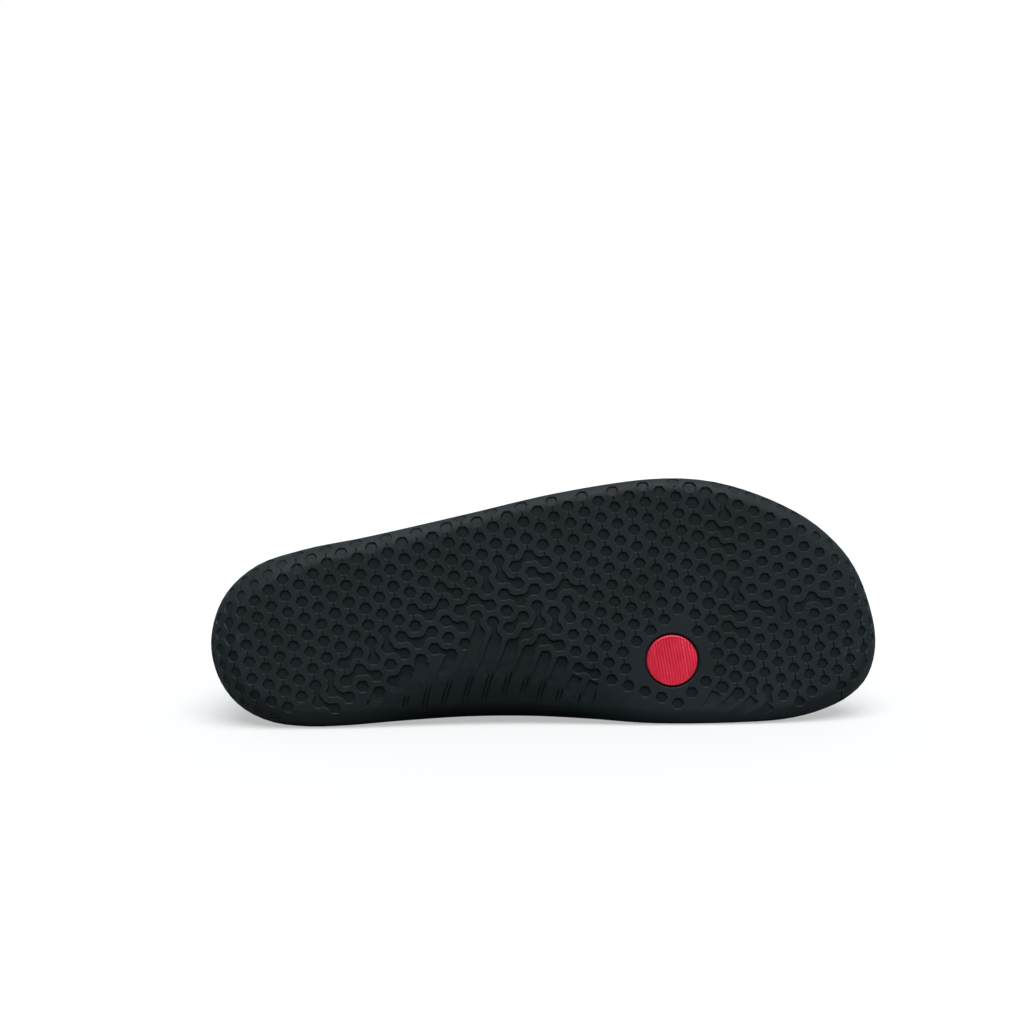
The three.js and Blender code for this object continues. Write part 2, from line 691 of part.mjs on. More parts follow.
function disc(radius, low, high) {
  const geometry = new THREE.CylinderGeometry(radius, radius, high - low, 36);
  geometry.rotateX(Math.PI / 2);
  geometry.translate(inlayAlong * soleLength, (0.5 - inlayAcross) * ballWidth, (high + low) / 2);
  return geometry;
}

// Eyelets along both edges of the throat, and the lace over them
const eyeletPairs = 5;

// A place between two ribs, from what is known on each of them
function between(rib, valueAt) {
  const k = Math.floor(rib);
  return k === rib ? valueAt(k) : mix(valueAt(k), valueAt(k + 1), rib - k);
}

function eyeletOnRib(side, k) {
  const row = upper.rows.get(ribKey(side, k));
  let left = eyeletInset;
  for (let i = row.length - 1; i > 0; i--) {
    const [a, b] = [upper.skin.points[row[i]], upper.skin.points[row[i - 1]]];
    const step = a.distanceTo(b);
    if (left < step) {
      const normal = mix(upperNormals[row[i]], upperNormals[row[i - 1]], left / step).normalize();
      return { point: mix(a, b, left / step), normal };
    }
    left -= step;
  }
  throw new Error("the eyelet inset is longer than the side of the upper");
}

const eyeletRibs = Array.from({ length: eyeletPairs }, (_, i) =>
  lerp(throatEnd - 1.2, collarFront + 0.8, i / (eyeletPairs - 1)),
);
const eyeletPoint = (side, rib) => between(rib, (k) => eyeletOnRib(side, k).point);
const eyeletNormal = (side, rib) => between(rib, (k) => eyeletOnRib(side, k).normal).normalize();

function eyeletCutters() {
  return ["medial", "lateral"].flatMap((side) =>
    eyeletRibs.map((rib) => {
      const point = eyeletPoint(side, rib);
      const normal = eyeletNormal(side, rib);
      const hole = new THREE.CylinderGeometry(eyeletRadius, eyeletRadius, 6 * upperWall, 10);
      hole.applyQuaternion(new THREE.Quaternion().setFromUnitVectors(new THREE.Vector3(0, 1, 0), normal));
      return hole.translate(point.x, point.y, point.z);
    }),
  );
}

// One run of lace from an eyelet over the tongue to the next eyelet of the other side
const laceSteps = 6;
const laceOverrun = 1.2; // past the middle of the eyelets

function laceRun(side, rib, nextRib) {
  const spreadOn = (k) => {
    const cross = crossLine(upper.skin.points, k);
    const points = spread(cross, cross.throat / 2 + eyeletInset + laceOverrun, laceSteps + 1);
    return side === "medial" ? points : points.reverse();
  };
  const pointOn = (place, i) => between(place, (k) => spreadOn(k)[i]);
  const path = Array.from({ length: laceSteps + 1 }, (_, i) => pointOn(lerp(rib, nextRib, i / laceSteps), i));
  const middle = laceSteps / 2;
  const heelward = pointOn(rib - 1, middle).sub(pointOn(rib, middle));
  const normals = path.map((_, i) => {
    const across = path[Math.min(i + 1, laceSteps)].clone().sub(path[Math.max(i - 1, 0)]);
    const normal = heelward.clone().cross(across).normalize();
    return normal.z < 0 ? normal.negate() : normal;
  });
  const lift = laceGap + laceThickness / 2;
  const raised = path.map((point, i) => point.clone().addScaledVector(normals[i], lift));
  return band(laceSection, raised, normals, laceWidth, laceThickness);
}

function laceGeometry() {
  const runs = [];
  eyeletRibs.slice(0, -1).forEach((k, i) => {
    runs.push(laceRun("medial", k, eyeletRibs[i + 1]), laceRun("lateral", k, eyeletRibs[i + 1]));
  });
  runs.push(laceRun("medial", eyeletRibs[0], eyeletRibs[0]));
  return union(runs);
}

const blackRubber = new THREE.MeshStandardMaterial({ color: 0x1c2124, roughness: 0.55, metalness: 0 });
const redRubber = new THREE.MeshStandardMaterial({ color: 0xd6283a, roughness: 0.5, metalness: 0 });
const blackKnit = new THREE.MeshStandardMaterial({ color: 0x17191b, roughness: 0.95, metalness: 0 });
const greyFoam = new THREE.MeshStandardMaterial({ color: 0x2b2e31, roughness: 0.9, metalness: 0 });
const blackCord = new THREE.MeshStandardMaterial({ color: 0x131415, roughness: 0.85, metalness: 0 });

function piece(name, geometry, material, density) {
  const mesh = new THREE.Mesh(geometry, material);
  mesh.name = name;
  mesh.userData.density = density;
  return mesh;
}

const pocket = disc(inlayRadius + clearance, -1, inlayThickness + clearance);
const pieces = [
  piece("outsole", subtract(sole.skin.solid(), [...grooveCutters(), pocket]), blackRubber, rubberDensity),
  piece("inlay", disc(inlayRadius, 0, inlayThickness), redRubber, rubberDensity),
  piece("insole", insoleGeometry(), greyFoam, foamDensity),
  piece("upper", subtract(upper.skin.solid(), eyeletCutters()), blackKnit, clothDensity),
  piece("tongue", tongueSkin().solid(), blackKnit, clothDensity),
  piece("lace", laceGeometry(), blackCord, clothDensity),
];

// Mass and centre of the pieces, from the tetrahedra under their faces
function balance(meshes) {
  const centre = new THREE.Vector3();
  let mass = 0;
  for (const mesh of meshes) {
    const flat = mesh.geometry.toNonIndexed().getAttribute("position");
    for (let i = 0; i < flat.count; i += 3) {
      const [a, b, c] = [0, 1, 2].map((k) => new THREE.Vector3().fromBufferAttribute(flat, i + k));
      const part = (a.dot(b.clone().cross(c)) / 6) * mesh.userData.density;
      mass += part;
      centre.addScaledVector(a.add(b).add(c), part / 4);
    }
  }
  return { mass, centre: centre.divideScalar(mass) };
}

// Turn that lets the points rest on a level floor: the plane under all of them that lies highest below
// the centre of mass is the one they settle on
function settle(points, centre) {
  const turn = new THREE.Quaternion();
  for (let round = 0; round < 6; round++) {
    const turned = points.map((point) => point.clone().applyQuaternion(turn));
    const middle = centre.clone().applyQuaternion(turn);
    const depthUnder = (a, b) =>
      turned.reduce((low, p) => Math.min(low, p.z - a * (p.x - middle.x) - b * (p.y - middle.y)), Infinity);
    const best = (value) => {
      let [low, high] = [-0.6, 0.6];
      for (let i = 0; i < 48; i++) {
        const [left, right] = [lerp(low, high, 1 / 3), lerp(low, high, 2 / 3)];
        if (value(left) < value(right)) low = left;
        else high = right;
      }
      return (low + high) / 2;
    };
    const slopeY = (a) => best((b) => depthUnder(a, b));
    const a = best((slope) => depthUnder(slope, slopeY(slope)));
    const normal = new THREE.Vector3(-a, -slopeY(a), 1).normalize();
    turn.premultiply(new THREE.Quaternion().setFromUnitVectors(normal, up));
  }
  return turn;
}

// Lays the shoe on its medial side, toe towards +x and sole towards -y, lets it settle, and puts the
// middle of its box on the origin, on the floor
function lay(meshes) {
  const shoe = new THREE.Group();
  shoe.add(...meshes);
  const onSide = new THREE.Quaternion().setFromAxisAngle(new THREE.Vector3(1, 0, 0), -Math.PI / 2);
  const { centre } = balance(meshes);
  const touching = [...sole.skin.points, ...upper.skin.points].filter((point) => point.y > 0);
  const settled = settle(
    touching.map((point) => point.clone().applyQuaternion(onSide)),
    centre.applyQuaternion(onSide),
  );
  shoe.quaternion.copy(settled).multiply(onSide);
  shoe.updateMatrixWorld(true);
  const box = new THREE.Box3().setFromObject(shoe, true);
  shoe.position.set(-(box.min.x + box.max.x) / 2, -(box.min.y + box.max.y) / 2, -box.min.z);
  return shoe;
}

const root = new THREE.Group();
root.add(lay(pieces));

export default root;
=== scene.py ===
# A low-cut barefoot sports shoe for the right foot, empty, on its medial side with its tread to the camera.
# The shoe is shaped in its own frame, in millimetres: x from heel to toe, y towards the medial side, z up
# from the ground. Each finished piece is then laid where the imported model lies.
import bisect
import json
import math
from functools import partial

import bpy
from mathutils import Matrix, Vector
from mathutils.bvhtree import BVHTree
from mathutils.geometry import interpolate_bezier
from mathutils.kdtree import KDTree


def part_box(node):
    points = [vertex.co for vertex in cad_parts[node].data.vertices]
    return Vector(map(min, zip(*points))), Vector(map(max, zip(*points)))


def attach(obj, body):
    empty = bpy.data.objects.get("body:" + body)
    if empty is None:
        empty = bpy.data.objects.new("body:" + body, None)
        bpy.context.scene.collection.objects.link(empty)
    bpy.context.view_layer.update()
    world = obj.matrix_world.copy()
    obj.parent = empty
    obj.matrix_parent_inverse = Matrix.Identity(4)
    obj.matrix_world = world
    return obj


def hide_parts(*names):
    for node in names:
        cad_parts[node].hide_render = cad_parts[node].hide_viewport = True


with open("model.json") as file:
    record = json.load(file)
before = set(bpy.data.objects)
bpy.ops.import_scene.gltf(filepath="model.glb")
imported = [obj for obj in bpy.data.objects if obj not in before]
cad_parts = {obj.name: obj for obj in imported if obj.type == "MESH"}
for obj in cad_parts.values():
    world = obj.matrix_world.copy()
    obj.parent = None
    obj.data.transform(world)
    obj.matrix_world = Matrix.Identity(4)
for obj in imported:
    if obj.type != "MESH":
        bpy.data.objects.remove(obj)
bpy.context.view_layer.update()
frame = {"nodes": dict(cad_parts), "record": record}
bpy.ops.object.select_all(action="DESELECT")
scene = bpy.context.scene
print("frame loaded")

# Sizes of the shoe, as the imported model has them
shoe = {
    "length": 283,  # outsole, heel to toe
    "outlineSteps": 54,  # between two rows of the outline
    "ballWidth": 103.5,
    "height": 84,  # ground to the front corners of the collar
    "rimHeight": 10,
    "toeSpring": 7,
    "springStart": 0.74,  # share of the length
    "archLift": 6.5,
    "soleCentre": 4.6,  # thickness inside the lasting margin
    "soleEdge": 2.6,  # under the lasting margin
    "soleWall": 2,  # at the rim
    "rimInset": 0.7,
    "lastingMargin": 9.2,
    "upperWall": 1.7,
    "collarPad": 2.2,
    "padStart": 0.45,
    "clearance": 0.3,
    "heelSpine": 0.16,  # ends of the sole's middle line
    "toeSpine": 0.84,
    "spineCrowding": 0.34,
    "spineTrim": 0.02,
    "spinePull": 0.3,
    "collarFront": 0.39,  # share of the way from heel to toe
    "throatEnd": 0.61,
    "ribCrowding": (0.5, 0, -0.45),  # up to the collar's front, the throat's end and the toe
}

# Outline of the outsole: share of the length, and share of the ball's width from the medial tangent
outlineRows = [
    (-0.0012, 0.346), (0.0185, 0.53), (0.067, 0.657), (0.14, 0.725), (0.236, 0.775), (0.381, 0.861),
    (0.525, 0.948), (0.66, 0.999), (0.73, 0.996), (0.79, 0.962), (0.863, 0.883), (0.915, 0.795),
    (0.961, 0.666), (0.9875, 0.52), (1.0025, 0.315), (0.988, 0.172), (0.957, 0.092), (0.912, 0.039),
    (0.863, 0.01), (0.8, 0.0), (0.66, 0.0), (0.57, 0.018), (0.48, 0.031), (0.38, 0.031),
    (0.285, 0.018), (0.2, 0.003), (0.14, 0.001), (0.088, 0.021), (0.0435, 0.082), (0.0125, 0.187),
]
# Edge of the outsole at a share of the way: how far in the bottom starts to curve, how high it turns
# upright, how far in the arch starts, how much of its lift it takes, the height of the rim, and the
# power of the curve, which is a quarter of an ellipse at 2 and nearer to a bevel below that
edgeRows = {
    "lateral": [
        (0.0, 1.15, 1.35, 0.3, 0, 1.5, 1.5), (0.1, 1.05, 1.15, 0.3, 0, 1.35, 1.5),
        (0.25, 0.75, 0.65, 0.3, 0, 1.1, 1.8), (0.5, 0.6, 0.5, 0.3, 0, 1, 2),
        (0.75, 0.65, 0.55, 0.3, 0, 1, 1.9), (0.9, 0.75, 0.85, 0.3, 0, 1.1, 1.6),
        (1.0, 0.8, 1.05, 0.3, 0, 1.25, 1.5),
    ],
    "medial": [
        (0.0, 1.15, 1.35, 0.3, 0, 1.5, 1.5), (0.1, 1.05, 1.15, 0.3, 0, 1.35, 1.5),
        (0.22, 0.9, 0.7, 0.3, 0.1, 1.1, 1.7), (0.34, 0.75, 0.55, 0.32, 0.75, 1, 2),
        (0.44, 0.7, 0.5, 0.34, 1, 1, 2), (0.54, 0.7, 0.5, 0.32, 0.7, 1, 2),
        (0.64, 0.7, 0.55, 0.3, 0.1, 1, 2), (0.75, 0.75, 0.6, 0.3, 0, 1, 1.9),
        (0.9, 0.8, 0.85, 0.3, 0, 1.1, 1.6), (1.0, 0.8, 1.05, 0.3, 0, 1.25, 1.5),
    ],
}
# Edge of the collar and throat at a share of the way: share of the length, then shares of ball width and
# height on the lateral side and on the medial one
topRows = [
    (0.0, 0.03, 0.367, 0.85, 0.367, 0.85), (0.05, 0.042, 0.495, 0.84, 0.24, 0.84),
    (0.1, 0.084, 0.592, 0.79, 0.146, 0.795), (0.15, 0.135, 0.647, 0.725, 0.093, 0.74),
    (0.2, 0.186, 0.672, 0.685, 0.07, 0.71), (0.25, 0.233, 0.678, 0.69, 0.067, 0.715),
    (0.3, 0.278, 0.667, 0.745, 0.087, 0.765), (0.35, 0.318, 0.638, 0.87, 0.138, 0.88),
    (0.39, 0.35, 0.603, 1.0, 0.2, 1.0), (0.45, 0.422, 0.588, 0.91, 0.24, 0.91),
    (0.5, 0.488, 0.578, 0.82, 0.275, 0.82), (0.55, 0.555, 0.56, 0.735, 0.314, 0.735),
    (0.585, 0.594, 0.522, 0.685, 0.362, 0.685), (0.61, 0.612, 0.443, 0.66, 0.443, 0.66),
]
# Ridge of the vamp at a share of the way: shares of length, ball width and height
vampRows = [
    (0.61, 0.612, 0.443, 0.66), (0.7, 0.69, 0.44, 0.585), (0.8, 0.78, 0.425, 0.515),
    (0.9, 0.862, 0.39, 0.44), (1.0, 0.92, 0.345, 0.365),
]
# Side of the upper: upright, swell, flatness and drop at the top, collar foam, eyestay thickness
sideRows = [
    (0.0, 0.4, 0.05, 0, 0.34, 1, 0), (0.1, 0.4, 0.04, 0, 0.34, 1, 0), (0.2, 0.4, 0.02, 0, 0.36, 1, 0),
    (0.3, 0.42, 0.012, 0.08, 0.32, 0.6, 0), (0.36, 0.45, 0.012, 0.22, 0.24, 0.05, 0.1),
    (0.39, 0.46, 0.012, 0.3, 0.2, 0, 1), (0.5, 0.48, 0.014, 0.42, 0.1, 0, 1),
    (0.6, 0.52, 0.014, 0.5, 0, 0, 1), (0.66, 0.53, 0.014, 0.51, 0, 0, 0),
    (0.8, 0.56, 0.012, 0.52, 0, 0, 0), (1.0, 0.6, 0.01, 0.5, 0, 0, 0),
]
up = Vector((0, 0, 1))


def clamp(value):
    return min(max(value, 0), 1)


def eased(value):
    # from 0 to 1 with a soft start and end
    held = clamp(value)
    return held * held * (3 - 2 * held)


def turnsOf(count):
    # the angles of so many points round a circle
    return [2 * math.pi * k / count for k in range(count)]


def rowAt(rows, at):
    # the columns at any place between the rows, on smooth curves
    last = len(rows) - 1
    place = min(max(at, rows[0][0]), rows[last][0])
    i = next((k for k in range(1, last + 1) if rows[k][0] >= place), last)
    before, a, b, after = rows[max(i - 2, 0)], rows[i - 1], rows[i], rows[min(i + 1, last)]
    span = b[0] - a[0]
    s = (place - a[0]) / span
    made = []
    for k in range(1, len(a)):
        slopeA = (b[k] - before[k]) / (b[0] - before[0]) * span
        slopeB = (after[k] - a[k]) / (after[0] - a[0]) * span
        ends = a[k] * (1 + s * s * (2 * s - 3)) + b[k] * s * s * (3 - 2 * s)
        made.append(ends + slopeA * s * (1 - s) ** 2 - slopeB * s * s * (1 - s))
    return made


def outlineSamples():
    # the closed outline in short steps, with its length up to each of them
    places = [Vector((a * shoe["length"], (0.5 - c) * shoe["ballWidth"], 0)) for a, c in outlineRows]
    count, steps = len(places), shoe["outlineSteps"]
    points = []
    for i in range(count):
        p0, p1, p2, p3 = [places[(i + k) % count] for k in (-1, 0, 1, 2)]
        d0, d1, d2 = [(q - p).length ** 0.5 for p, q in ((p0, p1), (p1, p2), (p2, p3))]
        slopeA = ((p1 - p0) / d0 - (p2 - p0) / (d0 + d1) + (p2 - p1) / d1) * d1
        slopeB = ((p2 - p1) / d1 - (p3 - p1) / (d1 + d2) + (p3 - p2) / d2) * d1
        for step in range(steps):
            w = step / steps
            square = (3 * p2 - 3 * p1 - 2 * slopeA - slopeB) * w * w
            points.append(p1 + slopeA * w + square + (2 * p1 - 2 * p2 + slopeA + slopeB) * w ** 3)
    points.append(points[0])
    lengths = [0]
    for a, b in zip(points, points[1:]):
        lengths.append(lengths[-1] + (b - a).length)
    return points, lengths


outlinePoints, outlineLengths = outlineSamples()
tip = max(range(len(outlinePoints)), key=lambda i: outlinePoints[i].x)
toeShare = outlineLengths[tip] / outlineLengths[-1]


def outlineAt(side, at):
    share = at * toeShare if side == "lateral" else 1 - at * (1 - toeShare)
    reach = (share % 1) * outlineLengths[-1]
    i = min(max(bisect.bisect_right(outlineLengths, reach), 1), len(outlineLengths) - 1)
    s = (reach - outlineLengths[i - 1]) / (outlineLengths[i] - outlineLengths[i - 1])
    return outlinePoints[i - 1].lerp(outlinePoints[i], s)


def spineAt(at):
    # middle line of the sole, which stops short of heel and toe
    middle = outlineAt("lateral", at).lerp(outlineAt("medial", at), 0.5)
    shift = at - math.sin(2 * math.pi * at) * shoe["spineCrowding"] / (2 * math.pi)
    share = shoe["heelSpine"] + (shoe["toeSpine"] - shoe["heelSpine"]) * shift
    reach = clamp((share - shoe["spineTrim"]) / (1 - 2 * shoe["spineTrim"]))
    across = outlineAt("lateral", reach).lerp(outlineAt("medial", reach), 0.5)
    return Vector((share * shoe["length"], across.y + (middle.y - across.y) * shoe["spinePull"], 0))


def inwardAt(side, at):
    return (spineAt(at) - outlineAt(side, at)).normalized()


def edgeLift(row, distance):
    # how far the edge has turned up at a distance in from the outline
    run, rise, power = row[0] * shoe["rimHeight"], row[1] * shoe["rimHeight"], row[5]
    curve = clamp(1 - distance / run)
    return rise * (1 - (1 - curve ** power) ** (1 / power))


def bottomPoint(side, at, distance):
    # a point of the outsole's bottom, a distance in from the outline
    row = rowAt(edgeRows[side], at)
    archRun, arch = row[2:4]
    lift = max(0, 1 - distance / (archRun * shoe["ballWidth"]))
    point = outlineAt(side, at) + inwardAt(side, at) * distance
    spring = max(0, (point.x / shoe["length"] - shoe["springStart"]) / (1 - shoe["springStart"]))
    arched = shoe["archLift"] * arch * lift ** 2
    point.z = shoe["toeSpring"] * spring ** 2 + arched + edgeLift(row, distance)
    return point


def ribShares(perRun):
    # shares of the way from heel to toe, closer round the heel and the toe
    shares, ends = [0], (0, shoe["collarFront"], shoe["throatEnd"], 1)
    for low, high, count, crowding in zip(ends, ends[1:], perRun, shoe["ribCrowding"]):
        for i in range(1, count + 1):
            u = i / count
            shares.append(low + (high - low) * (u - crowding * u * (1 - u)))
    return shares


def roundTrip(shares):
    there = [("lateral", at) for at in shares]
    return there + [("medial", at) for at in reversed(shares[1:-1])]


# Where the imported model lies: its tread faces the mounts' axis, and its inlay gives the place
inlaySize = {
    "along": 0.69,  # centre: share of the length
    "across": 0.26,  # and of the ball's width
    "radius": 11,
    "thickness": 1.2,
    "ribSpacing": 1.2,  # a little coarser than is usual, so that the ribs show
    "ribGroove": 0.6,
    "ribDepth": 0.6,
    "ribMargin": 1.1,  # left plain round the ribs
    "profile": ((0.935, 0.0), (0.95, 0.12), (0.965, 0.5), (0.98, 1.2)),  # shares of the radius, and heights
}
discPlace = (inlaySize["along"] * shoe["length"], (0.5 - inlaySize["across"]) * shoe["ballWidth"])


def layMatrix():
    outwards = Vector(frame["record"]["mounts"][0]["axis"])
    upwards = -outwards.normalized()
    forwards = Vector((1, 0, 0))
    forwards = (forwards - upwards * forwards.dot(upwards)).normalized()
    medial = upwards.cross(forwards)
    turn = Matrix((forwards, medial, upwards)).transposed()
    low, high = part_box("inlay")
    centre = Vector((*discPlace, inlaySize["thickness"] / 2)) * 0.001
    return Matrix.Translation((low + high) / 2 - turn @ centre) @ turn.to_4x4() @ Matrix.Scale(0.001, 4)


lay = layMatrix()


def activate(piece):
    bpy.ops.object.select_all(action="DESELECT")
    piece.select_set(True)
    bpy.context.view_layer.objects.active = piece


def editMesh(piece, *steps):
    # mesh operators, each with its settings, on the whole of a piece
    activate(piece)
    bpy.ops.object.mode_set(mode="EDIT")
    bpy.ops.mesh.select_all(action="SELECT")
    for operator, settings in steps:
        operator(**settings)
    bpy.ops.object.mode_set(mode="OBJECT")


facesOutwards = (bpy.ops.mesh.normals_make_consistent, {"inside": False})


def closeSeams(piece):
    editMesh(piece, (bpy.ops.mesh.remove_doubles, {"threshold": 0.01}), facesOutwards)


def modify(piece, kind, **settings):
    # adds a modifier and applies it
    activate(piece)
    bpy.ops.object.modifier_add(type=kind)
    modifier = piece.modifiers[-1]
    for key, value in settings.items():
        setattr(modifier, key, value)
    bpy.ops.object.modifier_apply(modifier=modifier.name)


def surfaceTree(piece):
    vertices = [vertex.co.copy() for vertex in piece.data.vertices]
    return BVHTree.FromPolygons(vertices, [tuple(face.vertices) for face in piece.data.polygons])


def gridPiece(name, columns):
    # a grid primitive whose columns are moved to the shoe's ribs, all the way round
    rings, around = len(columns[0]), len(columns) + 1
    bpy.ops.mesh.primitive_grid_add(x_subdivisions=around - 1, y_subdivisions=rings - 1, size=1)
    piece = bpy.context.object
    piece.name = piece.data.name = name
    for i, vertex in enumerate(piece.data.vertices):
        vertex.co = columns[(i % around) % len(columns)][i // around]
    # the map is in metres of cloth: round the piece at half height, and along each column
    belt = [0]
    for i in range(around - 1):
        ends = [columns[k % len(columns)][rings // 2] for k in (i, i + 1)]
        belt.append(belt[-1] + (ends[1] - ends[0]).length * 0.001)
    heights = []
    for column in columns:
        heights.append([0])
        for a, b in zip(column, column[1:]):
            heights[-1].append(heights[-1][-1] + (b - a).length * 0.001)
    cloth = piece.data.uv_layers.active.data
    for loop in piece.data.loops:
        column, ring = loop.vertex_index % around, loop.vertex_index // around
        cloth[loop.index].uv = (belt[column], heights[column % len(columns)][ring])
    return piece


def finishPiece(piece, node, angle):
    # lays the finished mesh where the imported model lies, flat where it meets the floor, for its node
    activate(piece)
    bpy.ops.object.shade_smooth_by_angle(angle=math.radians(angle))
    piece.data.transform(lay)
    for vertex in piece.data.vertices:
        vertex.co.z = max(vertex.co.z, 0)
    piece.data.update()
    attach(piece, "root")
    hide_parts(node)


# Outsole
outsoleSize = {
    "ribs": (26, 18, 26),  # to the collar's front, along the throat, and on to the toe
    "middleRings": (0.3, 0.55, 0.75, 0.9),  # shares of the way from the middle line to the edge
    "edgeStart": 1.15,  # of the edge's run
    "edgeStep": 9,  # degrees between the rings of the edge
    "rimRings": (0.4, 0.75, 1),
    "marginEnd": 9,  # where the bottom starts to thicken, and over how far
    "thickening": 2.5,
    "bevel": 0.5,
}


def soleRib(side, at):
    # outside of the outsole along one rib, from the middle line to the rim, with its thickness
    reach = (spineAt(at) - outlineAt(side, at)).length
    run, rise, _, _, rim, _ = rowAt(edgeRows[side], at)
    run *= shoe["rimHeight"]
    inner = [reach + (run * outsoleSize["edgeStart"] - reach) * s for s in (0, *outsoleSize["middleRings"])]
    curved = [run * (1 - math.sin(math.radians(a))) for a in range(0, 91, outsoleSize["edgeStep"])]
    points = []
    for distance in inner + curved:
        blend = clamp((distance - outsoleSize["marginEnd"]) / outsoleSize["thickening"])
        thickness = shoe["soleEdge"] + (shoe["soleCentre"] - shoe["soleEdge"]) * blend
        points.append((bottomPoint(side, at, distance), thickness))
    foot = points[-1][0]
    for share in outsoleSize["rimRings"]:
        point = foot + up * share * (rim - rise) * shoe["rimHeight"]
        point += inwardAt(side, at) * share * share * shoe["rimInset"]
        thickness = shoe["soleEdge"] + (shoe["soleWall"] - shoe["soleEdge"]) * share
        points.append((point, thickness))
    return points


soleColumns = [soleRib(side, at) for side, at in roundTrip(ribShares(outsoleSize["ribs"]))]
outsole = gridPiece("outsole_rubber", [[point for point, _ in column] for column in soleColumns])
thickest = shoe["soleCentre"]
group = outsole.vertex_groups.new(name="thickness")
around = len(soleColumns) + 1
for i in range(len(outsole.data.vertices)):
    _, thickness = soleColumns[(i % around) % len(soleColumns)][i // around]
    group.add([i], thickness / thickest, "REPLACE")
closeSeams(outsole)
soleTree = surfaceTree(outsole)
modify(outsole, "SOLIDIFY", thickness=thickest, offset=-1, vertex_group="thickness", use_rim=True)
closeSeams(outsole)
modify(
    outsole, "BEVEL", width=outsoleSize["bevel"], segments=2, limit_method="ANGLE",
    angle_limit=math.radians(45),
)
print("outsole shell made")

# Tread. The pits stand on one lattice of places (m, n): m counts columns from the heel, n rows towards the
# medial side. Past the toe column the lattice follows the toe spring.
lattice = {
    "start": (26.92, 0.53),
    "column": (6.954, 2.548),
    "row": (1.074, 7.069),
    "toeColumn": 28,
    "toeShift": (-0.187, 0.15),  # for each column past it
    "toeSpread": (0.0016, 0.0013),  # for each column past it and row from row -12
    "firstRow": -22,
    "firstColumn": -7,
    "sipeColumn": 29,  # from here on the sipes start at a row of their own
}


def latticePlace(m, n):
    past = max(0, m - lattice["toeColumn"])
    x = lattice["start"][0] + lattice["column"][0] * m + lattice["row"][0] * n
    y = lattice["start"][1] + lattice["column"][1] * m + lattice["row"][1] * n
    x += (lattice["toeShift"][0] + lattice["toeSpread"][0] * (n + 12)) * past
    y += (lattice["toeShift"][1] + lattice["toeSpread"][1] * (n + 12)) * past
    return Vector((x, y))


# Last row of pits in each column
lastRows = dict(enumerate([
    7, 7, 8, 8, 8, 7, 7, 6, 5, 5, 5, 4, 3, 3, 2, 1, 0, -1, -1, -2, *[-3] * 13, -4, -5, -5, -5,
    -6, -6, -6, -6, -7, -8, -7, -9, -10, -12, -14,
], lattice["firstColumn"]))
# Last row with a sipe to the next one, in the columns from the heel, and the first such row in the
# columns from the sipe column on; between them every row has its sipes
lastSipes = dict(enumerate([
    6, 6, 6, 6, 6, 6, 5, 5, 4, 3, 2, 2, 1, -1, -2, -2, -3, -4, -5, -6, -6, -8, -9, -8, -10, -10, -9,
    -4, -4, -4,
], lattice["firstColumn"]))
firstSipes = dict(enumerate([-8, -9, -9, -10, -10, -11, -11, -12, -12, -13, -14, -15], lattice["sipeColumn"]))
# Pits joined by necks
bones = [
    ((3, 3), (3, 4), (4, 4)), ((2, 4), (2, 5), (3, 5)), ((4, 3), (5, 2), (6, 2)), ((4, 2), (5, 1)),
    ((6, 0), (6, 1)), ((7, -1), (7, 0), (8, 0)), ((8, -1), (9, -1), (10, -2)), ((10, -1), (11, -1)),
    ((9, -3), (10, -3), (11, -4)), ((11, -5), (12, -5)), ((14, -7), (14, -6)), ((11, -3), (12, -3)),
    ((12, -4), (13, -5), (14, -5)), ((15, -8), (15, -7), (16, -7)), ((15, -6), (16, -6), (17, -7)),
    ((16, -5), (15, -4)), ((16, -8), (17, -9), (18, -9)), ((17, -8), (18, -8)),
    ((18, -7), (19, -8), (20, -8)), ((19, -7), (19, -6)), ((18, -6), (18, -5)),
    ((17, -6), (17, -5), (16, -4), (15, -3)), ((18, -4), (17, -4), (16, -3)), ((19, -3), (20, -3)),
    ((29, -17), (29, -16)), ((30, -17), (30, -16)), ((29, -15), (30, -15)), ((29, -14), (30, -14)),
    ((29, -12), (29, -11)), ((30, -12), (30, -11)), ((29, -10), (30, -10)), ((29, -9), (30, -9)),
    ((31, -11), (32, -11)), ((33, -12), (33, -11)), ((34, -12), (35, -13), (36, -13)),
    ((13, -4), (13, -3)), ((14, -4), (14, -3)), ((8, 1), (7, 2)), ((30, -6), (30, -5)),
    ((31, -6), (31, -5)),
]
# Troughs that fade out over the arch and the medial toe: lattice places of the middle line, and width
troughs = [
    (((6, 3), (5.75, 3.5), (5.6, 3.95)), 5.4),
    (((8, 1.1), (7.35, 2.1), (6.85, 3.0)), 5.8),
    (((9.1, 0.05), (8.75, 1.0), (8.3, 1.9)), 6.2),
    (((11, -0.9), (10.5, 0.05), (10.15, 0.75)), 5.0),
    (((13, -3), (12.4, -1.65), (11.7, -0.1)), 5.5),
    (((14, -3), (13.45, -1.75), (12.75, -0.3)), 5.5),
    (((15, -3), (14.4, -1.65), (13.75, -0.35)), 5.5),
    (((16, -3), (15.4, -1.75), (14.85, -0.6)), 5.5),
    (((17, -3), (16.45, -1.8), (15.95, -0.75)), 5.3),
    (((18, -3), (17.5, -1.95), (17.05, -1.0)), 5.2),
    (((18.85, -2.45), (18.35, -1.6), (17.95, -0.8)), 4.8),
    (((19.85, -2.5), (19.4, -1.65), (19.0, -0.85)), 4.6),
    (((27.6, -4.6), (27.2, -3.9), (26.7, -3.1)), 4.6),
    (((29, -5), (28.3, -4.2), (27.4, -3.2)), 4.6),
    (((30, -5.1), (29.4, -4.3), (28.6, -3.5)), 4.8),
    (((31, -5.1), (30.6, -4.6), (30.1, -4.0)), 4.6),
]
